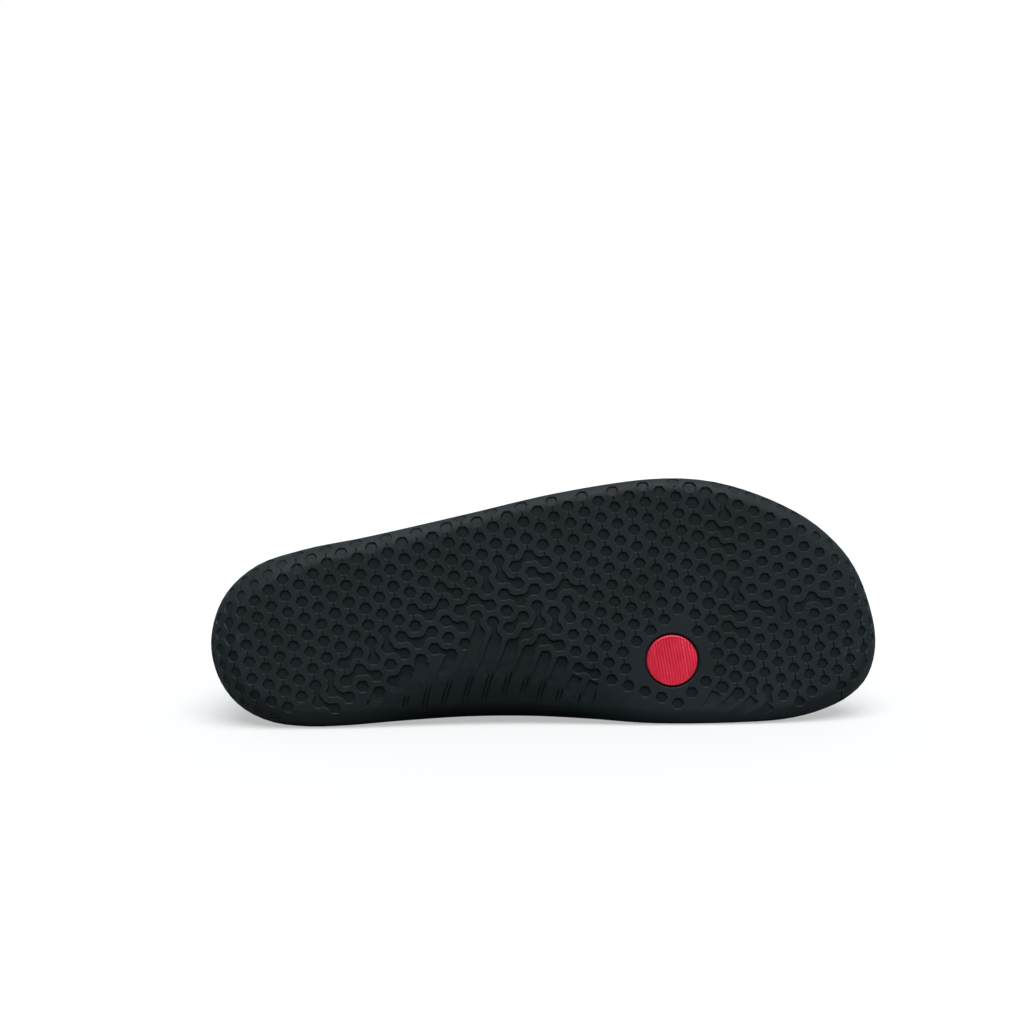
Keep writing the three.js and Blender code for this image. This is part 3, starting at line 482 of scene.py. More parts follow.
# Pairs of slits below the troughs: middle of the pair and length; then single ones
slitPairs = [
    ((7.6, 3.05), 5.5), ((8.95, 2.33), 10.7), ((10.3, 1.6), 11.3), ((11.7, 0.88), 13.4),
    ((12.95, 0.32), 13),
    ((14.2, -0.27), 12.5), ((15.3, -0.52), 9.3), ((16.35, -0.65), 9.6), ((17.45, -0.76), 6.3),
]
slits = [((18.7, -1.0), 5.4), ((5.15, 3.95), 3.2), ((19.7, -1.45), 5.6)]
tread = {
    "flats": ((31, 4.7), (28, 5.5), (19, 4.9), (4, 5.2), (-7, 5.0)),  # width of the pits from each column on
    "corner": ((-11, 0.916), (0, 0.95), (11, 0.916)),  # a rounded corner: degrees, and share of a sharp one
    "depth": 0.9,
    "edgeShare": 0.6,  # of the depth, where the sole turns up
    "flatFacing": (0.72, 0.96),  # how squarely the surface faces down where that starts and where it ends
    "steepest": 0.1,  # no pits where it faces down less than this
    "edgeMargin": 0.7,  # nor nearer to the outline
    "wrapStep": 0.1,
    "chamfer": 0.3,
    "wallSlope": 0.4,  # how far the wall leans in down to the floor
    "neck": 2.5,
    "neckFlare": 0.5,
    "neckOverlap": 0.75,
    "sipe": 0.66,
    "sipeDepth": 0.7,
    "sipeOverlap": 0.5,
    "floorStep": 0.04,  # keeps the floor of one cut out of the plane of another
    "slit": 0.85,
    "slitGap": 1.5,
    "slitDepth": 0.75,
    "slitShift": (0.6, -0.4),  # along the pair, for each of its slits
    "leanPerRow": (-1.95, 6.9),  # direction of the troughs and slits, in millimetres
    "inlayMargin": 15.2,
}


def pitFlats(m):
    return next(width for first, width in tread["flats"] if m >= first)


outlineTree = KDTree(len(outlinePoints))
for i, point in enumerate(outlinePoints):
    outlineTree.insert(point, i)
outlineTree.balance()


def surfaceAt(place):
    # point and outward direction on the sole for a place of the flat pattern, which wraps up round the edge
    flat = place.to_3d()
    edge, i, _ = outlineTree.find(flat)
    share = outlineLengths[i] / outlineLengths[-1]
    if share < toeShare:
        side, at = "lateral", share / toeShare
    else:
        side, at = "medial", (1 - share) / (1 - toeShare)
    row, inward = rowAt(edgeRows[side], at), inwardAt(side, at)
    inside = (flat - edge).length * (1 if (flat - edge).dot(inward) > 0 else -1)
    distance = row[0] * shoe["rimHeight"]
    left, slope, step = distance - inside, 0, tread["wrapStep"]
    if left <= 0:
        point, normal, _, _ = soleTree.find_nearest(flat)
        return point, (-normal if normal.z > 0 else normal)
    while left > 0 and distance > step:
        slope = (edgeLift(row, distance - step) - edgeLift(row, distance)) / step
        left -= math.hypot(1, slope) * step
        distance -= step
    if left > 0 or distance < tread["edgeMargin"]:
        return None, None
    inward = (flat - edge) / inside if abs(inside) > 0.5 else inward
    guess = edge + inward * distance
    guess.z = bottomPoint(side, at, distance).z
    point, normal, _, _ = soleTree.find_nearest(guess)
    outwards = -up - inward * slope
    return point, (-normal if normal.dot(outwards) < 0 else normal)


def ringOn(point, normal, outline, height):
    # outline points laid round a place of the surface and dropped on it, at a height over it
    side = normal.cross(Vector((1, 0, 0))).normalized()
    ahead = side.cross(normal).normalized()
    ring = []
    for u, v in outline:
        place, facing, _, _ = soleTree.find_nearest(point + ahead * u + side * v)
        outwards = -facing if facing.dot(normal) < 0 else facing
        ring.append(place + (outwards + normal).normalized() * height)
    return ring


def hexagonOutline(flats, inset):
    # a hexagon with rounded corners, flat towards the sides of the shoe
    corner = (flats - 2 * inset) / math.sqrt(3)
    outline = []
    for middle in turnsOf(6):
        for turn, share in tread["corner"]:
            angle = middle + math.radians(turn)
            outline.append((corner * share * math.cos(angle), corner * share * math.sin(angle)))
    return outline


def meshFromRings(name, tubes):
    # one mesh from many closed tubes, each a list of rings with the same count of points
    vertices, faces = [], []
    for rings in tubes:
        start, count = len(vertices), len(rings[0])
        vertices.extend(v for ring in rings for v in ring)
        for r in range(len(rings) - 1):
            for k in range(count):
                a = start + r * count + k
                b = start + r * count + (k + 1) % count
                faces.append((a, b, b + count, a + count))
        faces.append(tuple(start + k for k in reversed(range(count))))
        faces.append(tuple(start + (len(rings) - 1) * count + k for k in range(count)))
    mesh = bpy.data.meshes.new(name)
    mesh.from_pydata(vertices, [], faces)
    piece = bpy.data.objects.new(name, mesh)
    scene.collection.objects.link(piece)
    editMesh(piece, facesOutwards)
    return piece


def cut(piece, name, tubes):
    # takes all the tubes out of the piece at once
    cutter = meshFromRings(name, tubes)
    modify(piece, "BOOLEAN", object=cutter, operation="DIFFERENCE", solver="MANIFOLD")
    bpy.data.objects.remove(cutter)


def pitRings(m, place):
    point, normal = surfaceAt(place)
    if point is None or -normal.z < tread["steepest"]:
        return None
    steep, level = tread["flatFacing"]
    upright = clamp((-normal.z - steep) / (level - steep))
    depth = tread["depth"] * (tread["edgeShare"] + (1 - tread["edgeShare"]) * upright)
    above, chamfer = tread["chamfer"] * 2.2, tread["chamfer"]
    section = ((-above, above), (chamfer, -chamfer), (tread["wallSlope"], -depth))
    return [ringOn(point, normal, hexagonOutline(pitFlats(m), inset), height) for inset, height in section]


def channelRings(path, widths, depths):
    # a channel along places of the flat pattern, open at the surface
    rings = []
    for i, place in enumerate(path):
        point, normal = surfaceAt(place)
        if point is None:
            continue
        forward = (path[min(i + 1, len(path) - 1)] - path[max(i - 1, 0)]).to_3d().normalized()
        side = normal.cross(forward).normalized()
        half, depth, chamfer = widths[i] / 2, depths[i], min(tread["chamfer"], widths[i] * 0.15)
        lean = min(tread["wallSlope"], half * 0.4)
        wall = [
            (half + chamfer * 1.8, chamfer * 1.7), (half - chamfer * 0.8, -chamfer * 0.7),
            (half - lean, -depth),
        ]
        section = wall + [(-v, h) for v, h in reversed(wall)]
        rings.append([point + side * v + normal * h for v, h in section])
    return rings


pits = {}
for m, lastRow in lastRows.items():
    for n in range(lattice["firstRow"], lastRow + 1):
        place = latticePlace(m, n)
        if (place - Vector(discPlace)).length < tread["inlayMargin"]:
            continue
        rings = pitRings(m, place)
        if rings:
            pits[(m, n)] = rings
cut(outsole, "pit_cutter", list(pits.values()))
print("tread pits cut:", len(pits))


def betweenPits(a, b, overlap):
    # the straight way from one pit to another, with an overlap into both
    start, end = latticePlace(*a), latticePlace(*b)
    way = (end - start).normalized() * (pitFlats(a[0]) / 2 - overlap)
    return start + way, end - way


def neckTubes():
    tubes = []
    wide = tread["neck"] + tread["neckFlare"]
    for bone in bones:
        for a, b in zip(bone, bone[1:]):
            start, end = betweenPits(a, b, tread["neckOverlap"])
            path = [start, start.lerp(end, 0.5), end]
            depths = [tread["depth"] - tread["floorStep"]] * 3
            rings = channelRings(path, [wide, tread["neck"], wide], depths)
            if len(rings) == 3:
                tubes.append(rings)
    return tubes


def sipeTubes():
    joined = {frozenset(pair) for bone in bones for pair in zip(bone, bone[1:])}
    tubes = []
    for m, n in pits:
        if (m, n + 1) not in pits or frozenset(((m, n), (m, n + 1))) in joined:
            continue
        if n > lastSipes.get(m, n) or n < firstSipes.get(m, n):
            continue
        ends = betweenPits((m, n), (m, n + 1), tread["sipeOverlap"])
        rings = channelRings(ends, [tread["sipe"]] * 2, [tread["sipeDepth"]] * 2)
        if len(rings) == 2:
            tubes.append(rings)
    return tubes


def troughTubes(chosen):
    # each starts a little less deep than the pits and runs out over the surface
    tubes = []
    deepest = tread["depth"] - 1.5 * tread["floorStep"]
    for places, width in chosen:
        a, b, c = [latticePlace(*place) for place in places]
        shares = [i / 8 for i in range(9)]
        path = [a * (1 - s) ** 2 + b * 2 * s * (1 - s) + c * s * s for s in shares]
        depths = [deepest * (1 - s) - tread["floorStep"] * s for s in shares]
        tubes.append(channelRings(path, [width * (1 + 0.04 * s) for s in shares], depths))
    return tubes


def slitTubes():
    lean = Vector(tread["leanPerRow"]).normalized()
    across = Vector((lean.y, -lean.x)) * tread["slitGap"] / 2
    lines = []
    for place, length in slitPairs:
        for side, shift in zip((-1, 1), tread["slitShift"]):
            lines.append((latticePlace(*place) + across * side + lean * shift, length))
    lines += [(latticePlace(*place), length) for place, length in slits]
    tubes = []
    for middle, length in lines:
        path = [middle + lean * length * s for s in (-0.5, -0.25, 0, 0.25, 0.5)]
        widths = [tread["slit"] * w for w in (0.5, 1, 1, 1, 0.5)]
        tubes.append(channelRings(path, widths, [tread["slitDepth"] * d for d in (0.3, 1, 1, 1, 0.3)]))
    return tubes


def discRings(radius, profile):
    x, y = discPlace
    rings = []
    for share, z in profile:
        r = share * radius
        rings.append([Vector((x + r * math.cos(t), y + r * math.sin(t), z)) for t in turnsOf(72)])
    return rings


cut(outsole, "neck_cutter", neckTubes())
cut(outsole, "sipe_cutter", sipeTubes())
# neighbouring troughs overlap, so they are cut in two turns
cut(outsole, "trough_cutter", troughTubes(troughs[0::2]))
cut(outsole, "trough_cutter", troughTubes(troughs[1::2]))
cut(outsole, "slit_cutter", slitTubes())
pocketDepth = inlaySize["thickness"] + shoe["clearance"]
pocket = discRings(
    inlaySize["radius"] + shoe["clearance"], ((1.05, -1), (1.05, -0.05), (1.01, 0.3), (1, pocketDepth)),
)
cut(outsole, "pocket_cutter", [pocket])
print("tread finished:", len(outsole.data.polygons), "faces")

# how deep each point of the bottom lies, which the rubber's material uses to paint shade into the recesses
depthForPaintedShade = outsole.data.attributes.new("depth", "FLOAT", "POINT")
for vertex in outsole.data.vertices:
    _, _, _, distance = soleTree.find_nearest(vertex.co)
    outside = vertex.co.z < 8
    depthForPaintedShade.data[vertex.index].value = min(distance / tread["depth"], 1) if outside else 0

# Inlay: a plain round disc with fine ribs
inlay = meshFromRings("inlay_rubber", [discRings(inlaySize["radius"], inlaySize["profile"])])


def ribTubes():
    along = Vector(lattice["row"]).normalized()
    across = Vector((along.y, -along.x))
    tubes = []
    for i in range(-8, 9):
        away = i * inlaySize["ribSpacing"]
        half = math.sqrt(inlaySize["radius"] ** 2 - away ** 2) - inlaySize["ribMargin"]
        middle = Vector(discPlace) + across * away
        ends = [middle - along * half, middle + along * half]
        tubes.append(channelRings(ends, [inlaySize["ribGroove"]] * 2, [inlaySize["ribDepth"]] * 2))
    return tubes


cut(inlay, "rib_cutter", ribTubes())


# Upper
upperSize = {
    "ribs": (30, 24, 46),
    # rings of the lasting margin, in from the outline
    "margin": (shoe["lastingMargin"], 7.2, 5.2, 3.4, 2.0, 1.0, 0.35),
    "sideRings": 20,  # below the eyestay
    "sideEnd": 0.72,
    "eyestayShare": 0.73,  # of the side's height
    "eyestayRise": 0.003,
    "eyestayStep": 0.6,
    "topShares": (0.745, 0.78, 0.82, 0.86, 0.9, 0.94, 0.975, 1),
    "vampEase": 0.07,  # share of the way over which the vamp's slope is taken up
    "creaseEase": 0.3,
}
eyestayEdge = [upperSize["eyestayShare"] + upperSize["eyestayRise"] * s for s in (-0.5, 0.5)]
sideShares = [i / upperSize["sideRings"] * upperSize["sideEnd"] for i in range(upperSize["sideRings"] + 1)]
sideShares += [*eyestayEdge, *upperSize["topShares"]]
# Soft troughs over the flex of the forefoot: share of the way on the ridge, slant down the sides, depth and
# half width in millimetres, and how far down the lateral and the medial side they reach
creases = [
    (0.7, 0.016, 0.55, 3.4, 0.42, 0.3),
    (0.742, 0.02, 0.7, 3.8, 0.3, 0.38),
    (0.79, 0.022, 0.4, 3.2, 0.45, 0.5),
]


def soleInside(side, at, distance, depth):
    # a point inside the outsole's wall, a depth in from its outside
    step, turn = 0.05, 0.004
    point = bottomPoint(side, at, distance)
    along = bottomPoint(side, min(at + turn, 1), distance) - bottomPoint(side, max(at - turn, 0), distance)
    inwards = bottomPoint(side, at, distance + step) - bottomPoint(side, at, max(distance - step, 0))
    normal = along.cross(inwards).normalized()
    return point + (normal if normal.z > 0 else -normal) * depth


def rimSeat(side, at):
    _, rise, _, _, rim, _ = rowAt(edgeRows[side], at)
    seat = shoe["soleWall"] + shoe["clearance"] + shoe["rimInset"]
    return bottomPoint(side, at, 0) + up * (rim - rise) * shoe["rimHeight"] + inwardAt(side, at) * seat


def topPoint(side, at):
    if at < shoe["throatEnd"]:
        along, *pairs = rowAt(topRows, at)
        across, height = pairs[:2] if side == "lateral" else pairs[2:]
    else:
        along, across, height = rowAt(vampRows, at)
    return Vector((along * shoe["length"], (0.5 - across) * shoe["ballWidth"], height * shoe["height"]))


def vampSlope(at):
    taken = eased((at - shoe["throatEnd"]) / upperSize["vampEase"])
    back, front = topPoint("lateral", at - 0.01), topPoint("lateral", min(at + 0.01, 1))
    return (front.z - back.z) / (front.x - back.x) * taken if taken else 0


def sideCurve(side, at):
    # the upper's side above the rim, as one curve from the rim to the top
    upright, swell, flat, drop, _, _ = rowAt(sideRows, at)
    foot, top = rimSeat(side, at), topPoint(side, at)
    below = soleInside(side, at, 0, shoe["soleEdge"] + shoe["clearance"])
    height = top.z - foot.z
    level = Vector((foot.x - top.x, foot.y - top.y, 0))
    first = foot + (foot - below).normalized() * upright * height
    first -= inwardAt(side, at) * swell * shoe["ballWidth"]
    second = top + level * flat - up * drop * height
    second.z += vampSlope(at) * (second.x - top.x)
    return foot, first, second, top


def onCurve(curve, s):
    a, b, c, d = curve
    t = 1 - s
    return a * t ** 3 + b * 3 * s * t * t + c * 3 * s * s * t + d * s ** 3


def upperRib(side, at):
    inside = shoe["soleEdge"] + shoe["clearance"]
    margin = [soleInside(side, at, d, inside) for d in upperSize["margin"]]
    curve = sideCurve(side, at)
    return margin + [onCurve(curve, s) for s in sideShares]


def eyestayAt(at, share):
    # how much of the eyestay's step is taken at a place of the side
    return clamp((share - eyestayEdge[0]) / upperSize["eyestayRise"]) * rowAt(sideRows, at)[5]


def creaseAt(side, at, share):
    # depth of the creases of the vamp
    depth = 0
    for ridge, slant, deep, width, lateralEnd, medialEnd in creases:
        end = lateralEnd if side == "lateral" else medialEnd
        away = (at - ridge - slant * (1 - share)) * shoe["length"] / width
        depth += deep * math.exp(-away * away) * eased((share - end) / upperSize["creaseEase"])
    return depth


def upperThickness(at, share):
    pad = rowAt(sideRows, at)[4]
    padded = max(0, (share - shoe["padStart"]) / (1 - shoe["padStart"]))
    return shoe["upperWall"] + shoe["collarPad"] * pad * math.sin(min(1, padded * 1.6) * math.pi / 2)


upperTrip = roundTrip(ribShares(upperSize["ribs"]))
upper = gridPiece("upper_knit", [upperRib(side, at) for side, at in upperTrip])
for name in ("lateral", "at", "share"):
    upper.data.attributes.new(name, "FLOAT", "POINT")
around = len(upperTrip) + 1
for i in range(len(upper.data.vertices)):
    side, at = upperTrip[(i % around) % len(upperTrip)]
    ring = i // around - len(upperSize["margin"])
    share = sideShares[ring] if ring >= 0 else -0.1  # below the side
    for name, value in (("lateral", 1 if side == "lateral" else 0), ("at", at), ("share", share)):
        upper.data.attributes[name].data[i].value = value
closeSeams(upper)
group = upper.vertex_groups.new(name="thickness")
thickest = shoe["upperWall"] + shoe["collarPad"] + upperSize["eyestayStep"]
layers = [[item.value for item in upper.data.attributes[name].data] for name in ("lateral", "at", "share")]
moves = []
for i, (lateral, at, share) in enumerate(zip(*layers)):
    side = "lateral" if lateral > 0.5 else "medial"
    step = upperSize["eyestayStep"] * eyestayAt(at, share)
    group.add([i], (upperThickness(at, share) + step) / thickest, "REPLACE")
    moves.append(upper.data.vertices[i].normal * (step - creaseAt(side, at, share)))
for vertex, move in zip(upper.data.vertices, moves):
    vertex.co += move
upperTree = surfaceTree(upper)
modify(upper, "SOLIDIFY", thickness=thickest, offset=-1, vertex_group="thickness", material_offset=1)
modify(upper, "SUBSURF", levels=1, render_levels=1)
print("upper shell made:", len(upper.data.polygons), "faces")


def lengthOf(line):
    return sum((b - a).length for a, b in zip(line, line[1:]))


def alongLine(line, reach):
    # the point a length along a line of points
    for a, b in zip(line, line[1:]):
        step = (b - a).length
        if reach <= step:
            return a.lerp(b, reach / step if step else 0)
        reach -= step
    return line[-1].copy()


# Eyelets along both edges of the throat, and the lace through them
laceSize = {
    "width": 6.4,
    "thickness": 1.4,
    "gap": 0.8,  # over the upper and the tongue
    "lift": 0.4,  # of the whole run, besides the gap
    "over": 1.5,  # the upper run of a crossing over the lower
    "eyeletPlaces": (0.566, 0.529, 0.4925, 0.4558, 0.4193),
    "eyeletInset": 8,
    "eyeletSection": ((2.75, 1.6), (2.75, 0.62), (2.1, 0.3), (2.1, -5)),  # radius and height
    "dip": 3.4,  # how deep it goes into a hole, and how near to it that starts
    "inHole": 3.2,  # width where the lace goes through an eyelet
    "spread": 5.5,  # from a hole to its whole width, and half of the part that lies over
    "squareness": 0.6,
    "steps": 40,
    "around": 16,
}


def crossLine(at):
    # the line over the instep: up the medial side, over the throat and down the lateral side
    sides = []
    for side in ("medial", "lateral"):
        curve = sideCurve(side, at)
        sides.append([onCurve(curve, 0.45 + 0.55 * i / 12) for i in range(13)])
    medial, lateral = sides
    a, b = medial[-1], lateral[-1]
    pull = (a - b).length * 0.36
    first = a + (medial[-1] - medial[-2]).normalized() * pull
    second = b + (lateral[-1] - lateral[-2]).normalized() * pull
    bridge = interpolate_bezier(a, first, second, b, 15)
    return medial + bridge[1:-1] + lateral[::-1], lengthOf(medial), lengthOf(bridge)


def instepPoint(at, offset):
    # a point over the instep, an offset from the middle of the throat towards the lateral side
    line, rise, throat = crossLine(at)
    return alongLine(line, rise + throat / 2 + offset), throat / 2 + laceSize["eyeletInset"]


def instepNormal(at, offset):
    ahead = instepPoint(at - 0.012, offset)[0] - instepPoint(at + 0.012, offset)[0]
    across = instepPoint(at, offset + 1)[0] - instepPoint(at, offset - 1)[0]
    normal = ahead.cross(across).normalized()
    return normal if normal.z > 0 else -normal


def eyeletTubes():
    tubes = []
    for side in (-1, 1):
        for at in laceSize["eyeletPlaces"]:
            offset = instepPoint(at, 0)[1] * side
            point, normal = instepPoint(at, offset)[0], instepNormal(at, offset)
            a = normal.orthogonal().normalized()
            b = normal.cross(a)
            rings = []
            for radius, height in laceSize["eyeletSection"]:
                ring = [a * math.cos(t) * radius + b * math.sin(t) * radius for t in turnsOf(20)]
                rings.append([point + normal * height + corner for corner in ring])
            tubes.append(rings)
    return tubes


cut(upper, "eyelet_cutter", eyeletTubes())
print("eyelets cut")


def roundedSquare(value):
    return math.copysign(abs(value) ** laceSize["squareness"], value)


def laceRun(side, start, end, lift):
    # a run from an eyelet over the tongue to an eyelet of the other side, dipping into both
    path, normals, widths, heights = [], [], [], []
    for i in range(laceSize["steps"] + 1):
        s = i / laceSize["steps"]
        at = start + (end - start) * s
        reach = instepPoint(at, 0)[1]
        offset = side * reach * (1 - 2 * s)
        normal = instepNormal(at, offset)
        fromHole = min(s, 1 - s) * 2 * reach
        height = laceSize["gap"] + laceSize["thickness"] / 2 + laceSize["lift"]
        height += lift * math.exp(-(((s - 0.5) * 2 * reach) / laceSize["spread"]) ** 2)
        height -= laceSize["dip"] * eased(1 - fromHole / laceSize["dip"])
        path.append(instepPoint(at, offset)[0] + normal * height)
        normals.append(normal)
        narrow = fromHole / laceSize["spread"]
        widths.append(laceSize["inHole"] + (laceSize["width"] - laceSize["inHole"]) * eased(narrow))
        heights.append(laceSize["thickness"] * (1 + 0.25 * (1 - clamp(narrow))))
    columns = []
    for turn in turnsOf(laceSize["around"]):
        columns.append([])
        for i, point in enumerate(path):
            ahead = path[min(i + 1, len(path) - 1)] - path[max(i - 1, 0)]
            across = normals[i].cross(ahead).normalized()
            outwards = ahead.cross(across).normalized()
            u = roundedSquare(math.cos(turn)) * widths[i] / 2
            v = roundedSquare(math.sin(turn)) * heights[i] / 2
            columns[-1].append(point + across * u + outwards * v)
    run = gridPiece("lace_run", columns)
    closeSeams(run)
    editMesh(run, (bpy.ops.mesh.fill_holes, {"sides": 0}), facesOutwards)
    return run


def joinPieces(pieces, name):
    activate(pieces[0])
    for piece in pieces:
        piece.select_set(True)
    bpy.ops.object.join()
    pieces[0].name = pieces[0].data.name = name
    return pieces[0]


holes = laceSize["eyeletPlaces"]
runs = [laceRun(-1, holes[0], holes[0], 0)]
for here, after in zip(holes, holes[1:]):
    runs.append(laceRun(-1, here, after, 0))
    runs.append(laceRun(1, here, after, laceSize["over"]))
lace = joinPieces(runs, "lace_braid")
print("lace laid")

# Stitches of the eyestay and the collar, as short threads that stand half out of the knit
thread = {
    "pitch": 3.1,
    "length": 2.2,
    "radius": 0.33,
    "section": ((0, 0.35, 0.3), (0.2, 0.9, 0.05), (0.5, 1, -0.06), (0.8, 0.9, 0.05), (1, 0.35, 0.3)),
    "eyestaySeams": (0.762, 0.8),  # shares of the side's height
    "collarSeam": 0.74,
    "eyestayStart": 0.372,  # shares of the way
    "collarStart": 0.362,
    "turnStart": 0.598,
    "wrapEnd": 0.668,  # where a seam at the middle share crosses the vamp
    "middleShare": 0.76,
    "wrapSpread": 0.2,
}


def thereAndBack(places, shareAt):
    # a seam along the medial side and back along the lateral one
    there = [("medial", at, shareAt(at)) for at in places]
    return there + [("lateral", at, shareAt(at)) for at in reversed(places[:-1])]


def eyestaySeam(share):
    # it leaves the side and crosses the vamp in front of the throat
    first, start = thread["eyestayStart"], thread["turnStart"]
    end = thread["wrapEnd"] + (thread["middleShare"] - share) * thread["wrapSpread"]
    places = [first + (start - first) * i / 30 for i in range(30)]
    places += [start + (end - start) * math.sin(math.pi / 2 * i / 24) for i in range(25)]
    return thereAndBack(
        places, lambda at: 1 - (1 - share) * math.sqrt(1 - clamp((at - start) / (end - start)) ** 2),
    )


def collarSeam(share):
    return thereAndBack([thread["collarStart"] * (1 - i / 44) for i in range(45)], lambda at: share)


def stitchTubes(seam):
    line = [upperTree.find_nearest(onCurve(sideCurve(side, at), share))[0] for side, at, share in seam]
    tubes = []
    for i in range(int(lengthOf(line) / thread["pitch"])):
        middle = (i + 0.5) * thread["pitch"]
        start, end = [alongLine(line, middle + thread["length"] * s) for s in (-0.5, 0.5)]
        way = (end - start).normalized()
        rings = []
        for s, size, sink in thread["section"]:
            place, normal, _, _ = upperTree.find_nearest(start.lerp(end, s))
            across = normal.cross(way).normalized()
            centre = place - normal * sink
            spokes = [across * math.cos(t) + normal * math.sin(t) for t in turnsOf(6)]
            rings.append([centre + spoke * thread["radius"] * size for spoke in spokes])
        tubes.append(rings)
    return tubes


seams = [*[eyestaySeam(share) for share in thread["eyestaySeams"]], collarSeam(thread["collarSeam"])]
stitches = meshFromRings("stitches", [tube for seam in seams for tube in stitchTubes(seam)])
print("stitches laid:", len(stitches.data.polygons), "faces")


def cadCopy(node, name):
    # a merged copy of a node's mesh, back in the shoe's own frame
    piece = frame["nodes"][node].copy()
    piece.data = piece.data.copy()
    for key in list(piece.keys()):
        del piece[key]
    piece.parent = None
    piece.name = piece.data.name = name
    piece.data.materials.clear()
    scene.collection.objects.link(piece)
    piece.data.transform(lay.inverted())
    limits = {"face_threshold": math.radians(50), "shape_threshold": math.radians(60)}
    merging = (bpy.ops.mesh.remove_doubles, {"threshold": 0.005})
    editMesh(piece, merging, (bpy.ops.mesh.tris_convert_to_quads, limits))
    modify(piece, "SUBSURF", levels=2, render_levels=2)
    return piece


tongue = cadCopy("tongue", "tongue_padded")
insole = cadCopy("insole", "insole_cloth")


# Materials
def hexColour(text):
    values = [int(text[i:i + 2], 16) / 255 for i in (0, 2, 4)]
    return (*[v / 12.92 if v <= 0.04045 else ((v + 0.055) / 1.055) ** 2.4 for v in values], 1)


def setInputs(tree, node, inputs):
    # each input is linked to a socket or set to a value; text is a hex colour
    for key, value in inputs.items():
        if isinstance(value, bpy.types.NodeSocket):
            tree.links.new(value, node.inputs[key])
        else:
            node.inputs[key].default_value = hexColour(value) if isinstance(value, str) else value


def addNode(tree, kind, inputs=(), output=0, **settings):
    # adds a node with its settings and links; inputs are by name, or in the node's own order
    node = tree.nodes.new("ShaderNode" + kind)
    for key, value in settings.items():
        setattr(node, key, value)
    setInputs(tree, node, inputs if isinstance(inputs, dict) else dict(enumerate(inputs)))
    return node.outputs[output]


def newMaterial(name):
    # the material, with what adds its nodes and what sets its shader
    material = bpy.data.materials.new(name)
    material.use_nodes = True
    tree = material.node_tree
    return material, partial(addNode, tree), partial(setInputs, tree, tree.nodes["Principled BSDF"])


# Coordinates are in metres, so the scale of a pattern is 1000 over its size in millimetres
def blackRubber():
    # satin rubber, a little dusty on the land, with painted shade in the pits, and flecked at the heel and
    # the toe with scuffs and painted glints
    material, add, shade = newMaterial("moulded_black_rubber")
    place = add("TexCoord", output="Object")
    depth = add("Attribute", output="Fac", attribute_name="depth")
    cloud = add("TexNoise", {"Vector": place, "Scale": 1000 / 34, "Detail": 3, "Roughness": 0.5})
    fine = add("TexNoise", {"Vector": place, "Scale": 1000 / 1.3, "Detail": 5, "Roughness": 0.65})
    spots = add("TexNoise", {"Vector": place, "Scale": 1000 / 3.2, "Detail": 4, "Roughness": 0.7})
    clouded = add("MapRange", [cloud, 0.35, 0.65, 0, 1])
    land = add("Mix", {0: clouded, 6: "10191d", 7: "172125"}, 2, data_type="RGBA")
    dusty = add("MapRange", [fine, 0.45, 0.75, 0, 0.5])
    land = add("Mix", {0: dusty, 6: land, 7: "222d31"}, 2, data_type="RGBA")
    # painted shade: the colour darkens towards 0d151a with depth, into every recess of the tread
    colour = add("Mix", {0: depth, 6: land, 7: "0d151a"}, 2, data_type="RGBA")
    # scuffs and painted glints: light grey 59625f flecks near the heel and the toe, partly wear and partly
    # painted glints of the edge pits
    away = add("Math", [add("SeparateXYZ", [place])], operation="ABSOLUTE")
    ends = add("MapRange", [away, 0.118, 0.138, 0, 1])  # metres from the middle of the shoe
    scuffAndGlintFlecks = add("MapRange", [spots, 0.6, 0.7, 0, 0.55])
    scuffsAndGlints = add("Math", [ends, scuffAndGlintFlecks], operation="MULTIPLY")
    rough = add("MapRange", [fine, 0.35, 0.7, 0.58, 0.74])
    shade({
        "Base Color": add("Mix", {0: scuffsAndGlints, 6: colour, 7: "59625f"}, 2, data_type="RGBA"),
        "Roughness": add("Math", [scuffsAndGlints, 0.2, rough], operation="MULTIPLY_ADD"),
        "Normal": add("Bump", {"Height": fine, "Distance": 0.00006, "Strength": 0.25}),
        "IOR": 1.5, "Specular IOR Level": 0.27,
    })
    return material


def redRubber():
    # bright rubber, smoother than the sole, with a faint marbling
    material, add, shade = newMaterial("moulded_red_rubber")
    place = add("TexCoord", output="Object")
    cloud = add("TexNoise", {"Vector": place, "Scale": 1000 / 5, "Detail": 4, "Roughness": 0.6})
    fine = add("TexNoise", {"Vector": place, "Scale": 1000 / 0.5, "Detail": 4, "Roughness": 0.6})
    clouded = add("MapRange", [cloud, 0.3, 0.7, 0, 1])
    shade({
        "Base Color": add("Mix", {0: clouded, 6: "dd2543", 7: "ec3350"}, 2, data_type="RGBA"),
        "Roughness": add("MapRange", [fine, 0.3, 0.7, 0.38, 0.52]),
        "Normal": add("Bump", {"Height": fine, "Distance": 0.00003, "Strength": 0.3}),
        "IOR": 1.5, "Specular IOR Level": 0.45,
    })
    return material


def knitLoops(add, wale, course):
    # columns of V-shaped loops over the map of the cloth, a little coarser than real ones so that they show
    u, v = [add("SeparateXYZ", [add("UVMap")], axis) for axis in (0, 1)]
    slope = add("Math", [u, wale / 2000], operation="PINGPONG")
    rows = add("Math", [add("Math", [v, slope]), 1000 * math.pi / course], operation="MULTIPLY")
    legs = add("Math", [u, 2000 * math.pi / wale], operation="MULTIPLY")
    waves = [add("Math", [turn], operation="SINE") for turn in (rows, legs)]
    loops = add("Math", [add("Math", waves, operation="MULTIPLY")], operation="ABSOLUTE")
    return add("Math", [loops, 0.6], operation="POWER")


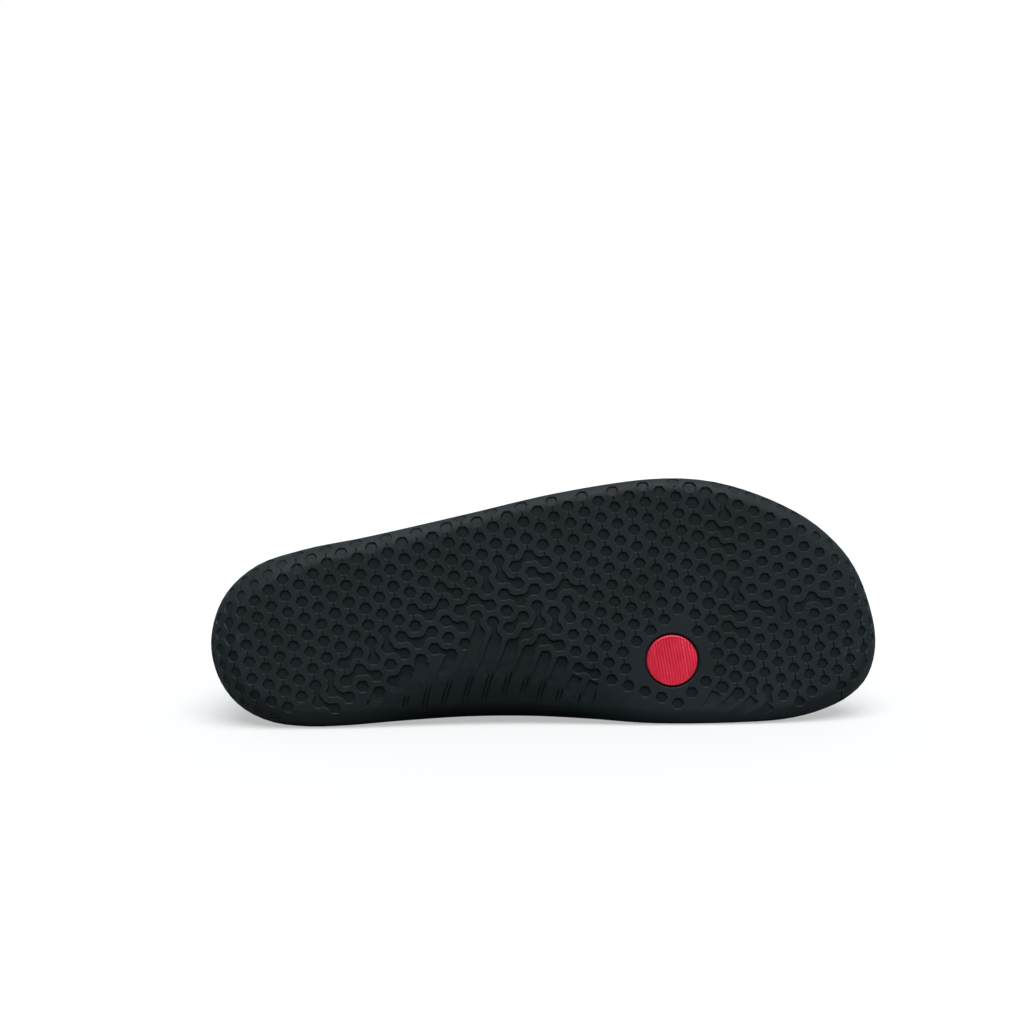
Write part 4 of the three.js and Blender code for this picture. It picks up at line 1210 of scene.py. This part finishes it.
def plaitedStrands(add, pitch, lead):
    # strands that cross on the slant, each a pitch wide, a little coarser than real ones
    cloth = add("UVMap")
    u, v = [
        add("Math", [add("SeparateXYZ", [cloth], axis), 1000 * math.pi / size], operation="MULTIPLY")
        for axis, size in ((0, pitch), (1, lead))
    ]
    ways = [add("Math", [v, u], operation=way) for way in ("ADD", "SUBTRACT")]
    waves = [add("Math", [way], operation="SINE") for way in ways]
    crossed = add("Math", [add("Math", waves, operation="MULTIPLY")], operation="ABSOLUTE")
    return add("Math", [crossed, 0.5], operation="POWER")


def clothMaterial(name, hollowShade, raised, pattern, sizes, relief, sheen):
    # yarn with painted shade between its loops, loose hairs and slow changes of tone
    material, add, shade = newMaterial(name)
    place = add("TexCoord", output="Object")
    loops = pattern(add, *sizes)
    hairs = add("TexNoise", {"Vector": place, "Scale": 1000 / 0.45, "Detail": 3, "Roughness": 0.7})
    cloud = add("TexNoise", {"Vector": place, "Scale": 1000 / 22, "Detail": 3, "Roughness": 0.5})
    # painted shade: the colour darkens towards the hollows between the loops, and hairs and clouds vary the
    # tone
    toneAndShade = add("Math", [loops, add("MapRange", [hairs, 0.3, 0.7, 0.55, 1])], operation="MULTIPLY")
    toneAndShade = add("Math", [toneAndShade, add("MapRange", [cloud, 0.3, 0.7, 0.75, 1])], operation="MULTIPLY")
    height = add("Math", [hairs, 0.4, loops], operation="MULTIPLY_ADD")
    shade({
        "Base Color": add("Mix", {0: toneAndShade, 6: hollowShade, 7: raised}, 2, data_type="RGBA"),
        "Roughness": add("MapRange", [hairs, 0.3, 0.7, 0.82, 0.95]),
        "Normal": add("Bump", {"Height": height, "Distance": relief * 0.001, "Strength": 1}),
        "Sheen Weight": sheen, "Sheen Roughness": 0.45, "Specular IOR Level": 0.25,
    })
    return material


def threadMaterial():
    # waxed thread, lighter and glossier than the knit
    material, add, shade = newMaterial("black_thread")
    place = add("TexCoord", output="Object")
    strands = add("TexNoise", {"Vector": place, "Scale": 1000 / 0.3, "Detail": 3, "Roughness": 0.6})
    shade({
        "Base Color": add("Mix", {0: strands, 6: "2c3034", 7: "484d52"}, 2, data_type="RGBA"),
        "Roughness": add("MapRange", [strands, 0.3, 0.7, 0.5, 0.7]),
        "Normal": add("Bump", {"Height": strands, "Distance": 0.00008, "Strength": 0.6}),
    })
    return material


# name, painted shade between the loops and the yarn's colour on them, pattern and its sizes, relief in
# millimetres, and sheen
knit = clothMaterial("black_knit", "0f1112", "393d41", knitLoops, (1.5, 1.25), 0.22, 0.2)
tongueKnit = clothMaterial("black_knit_tongue", "0f1112", "33373a", knitLoops, (1.3, 1.1), 0.18, 0.12)
lining = clothMaterial("lining_cloth", "121415", "34383b", plaitedStrands, (0.9, 0.9), 0.12, 0.1)
footbed = clothMaterial("grey_cloth", "17191b", "45494d", plaitedStrands, (1.1, 1.1), 0.14, 0.1)
braid = clothMaterial("black_braid", "111314", "404448", plaitedStrands, (1.5, 2.2), 0.25, 0.1)
for piece, materials in (
    (outsole, [blackRubber()]), (inlay, [redRubber()]), (upper, [knit, lining]), (tongue, [tongueKnit]),
    (insole, [footbed]), (lace, [braid]), (stitches, [threadMaterial()]),
):
    piece.data.materials.clear()
    for material in materials:
        piece.data.materials.append(material)
for piece in (tongue, insole):
    # a map in metres of cloth, laid from above
    cloth = piece.data.uv_layers.new(name="cloth").data
    for loop in piece.data.loops:
        place = piece.data.vertices[loop.vertex_index].co
        cloth[loop.index].uv = (place.y * 0.001, place.x * 0.001)
upper = joinPieces([upper, stitches], "upper_knit")

finishPiece(outsole, "outsole", 32)
finishPiece(inlay, "inlay", 40)
finishPiece(upper, "upper", 60)
finishPiece(tongue, "tongue", 60)
finishPiece(insole, "insole", 60)
finishPiece(lace, "lace", 40)
print("pieces laid")

# Floor, light and camera
stageSize = {
    "floor": 30,
    "grey": "a6a9a9",
    "paintedGlow": "f4f6f6",
    "archShade": "3c4042",
    "bounce": "8a8f91",
    "sun": 3.9,
    "sunWidth": 56,  # degrees
    "sunPlace": (0.07, -0.42, 0.9),
}
bpy.ops.mesh.primitive_plane_add(size=stageSize["floor"], location=(0, 0, 0))
floor = bpy.context.object
floor.name = "floor"
floorMaterial, add, shade = newMaterial("pale_floor")
# the floor is pale to the camera, and throws little light back at the shoe, least under the arch
place = add("TexCoord", output="Object")
ray = add("LightPath", output="Is Camera Ray")
away = add("VectorMath", [place], "Value", operation="LENGTH")
along = add("Math", [add("SeparateXYZ", [place]), 0.016])  # metres from the arch
ends = add("MapRange", [add("Math", [along], operation="ABSOLUTE"), 0.03, 0.08, 0, 1])
thrown = add("Mix", {0: ends, 6: stageSize["archShade"], 7: stageSize["bounce"]}, 2, data_type="RGBA")
# painted glow: the floor glows to the camera, less near the shoe, which paints a soft shade round it
paintedGlow = add("MapRange", [away, 0.13, 0.36, 0.5, 0.62])
shade({
    "Base Color": add("Mix", {0: ray, 6: thrown, 7: stageSize["grey"]}, 2, data_type="RGBA"),
    "Roughness": 0.9, "Specular IOR Level": 0.0,
    "Emission Color": stageSize["paintedGlow"],
    "Emission Strength": add("Math", [ray, paintedGlow], operation="MULTIPLY"),
})
floor.data.materials.append(floorMaterial)

# The backdrop is white to the camera; the shoe sees a studio that is bright above and behind it
world = bpy.data.worlds.new("studio")
scene.world = world
world.use_nodes = True
tree = world.node_tree
add = partial(addNode, tree)
seen = tree.nodes["Background"]
setInputs(tree, seen, {"Color": "ffffff", "Strength": 1})
direction = add("TexCoord", output="Generated")
bright = add("Math", [add("SeparateXYZ", [direction], axis) for axis in (1, 2)])
bright = add("MapRange", [bright, 0.15, 1.35, 0.03, 0.6])
studio = add("Background", {"Color": "f3f8fa", "Strength": bright})
shown = add("MixShader", [add("LightPath", output="Is Camera Ray"), studio, seen.outputs[0]])
setInputs(tree, tree.nodes["World Output"], {"Surface": shown})
scene.view_settings.view_transform = "Standard"

light = bpy.data.lights.new("ceiling_light", "SUN")
light.energy = stageSize["sun"]
light.angle = math.radians(stageSize["sunWidth"])
lamp = bpy.data.objects.new("ceiling_light", light)
lamp.location = stageSize["sunPlace"]
lamp.rotation_euler = Vector(stageSize["sunPlace"]).to_track_quat("Z", "Y").to_euler()
scene.collection.objects.link(lamp)

view = {
    "lens": 81.2,
    "distance": 0.966,
    "tilt": 7.64,  # degrees down at the middle of the picture
    "swing": -0.22,  # degrees round the shoe
    "roll": -0.59,
    "aim": (-0.013, -0.045, 0.0911),
}
cameraData = bpy.data.cameras.new("camera")
cameraData.lens = view["lens"]
camera = bpy.data.objects.new("camera", cameraData)
tilt, swing = math.radians(view["tilt"]), math.radians(view["swing"])
back = Vector((math.sin(swing) * math.cos(tilt), -math.cos(swing) * math.cos(tilt), math.sin(tilt)))
camera.location = Vector(view["aim"]) + back * view["distance"]
look = (-back).to_track_quat("-Z", "Y").to_matrix().to_4x4()
turn = look @ Matrix.Rotation(math.radians(view["roll"]), 4, "Z")
camera.rotation_euler = turn.to_euler()
scene.collection.objects.link(camera)
scene.camera = camera

print("scene ready")
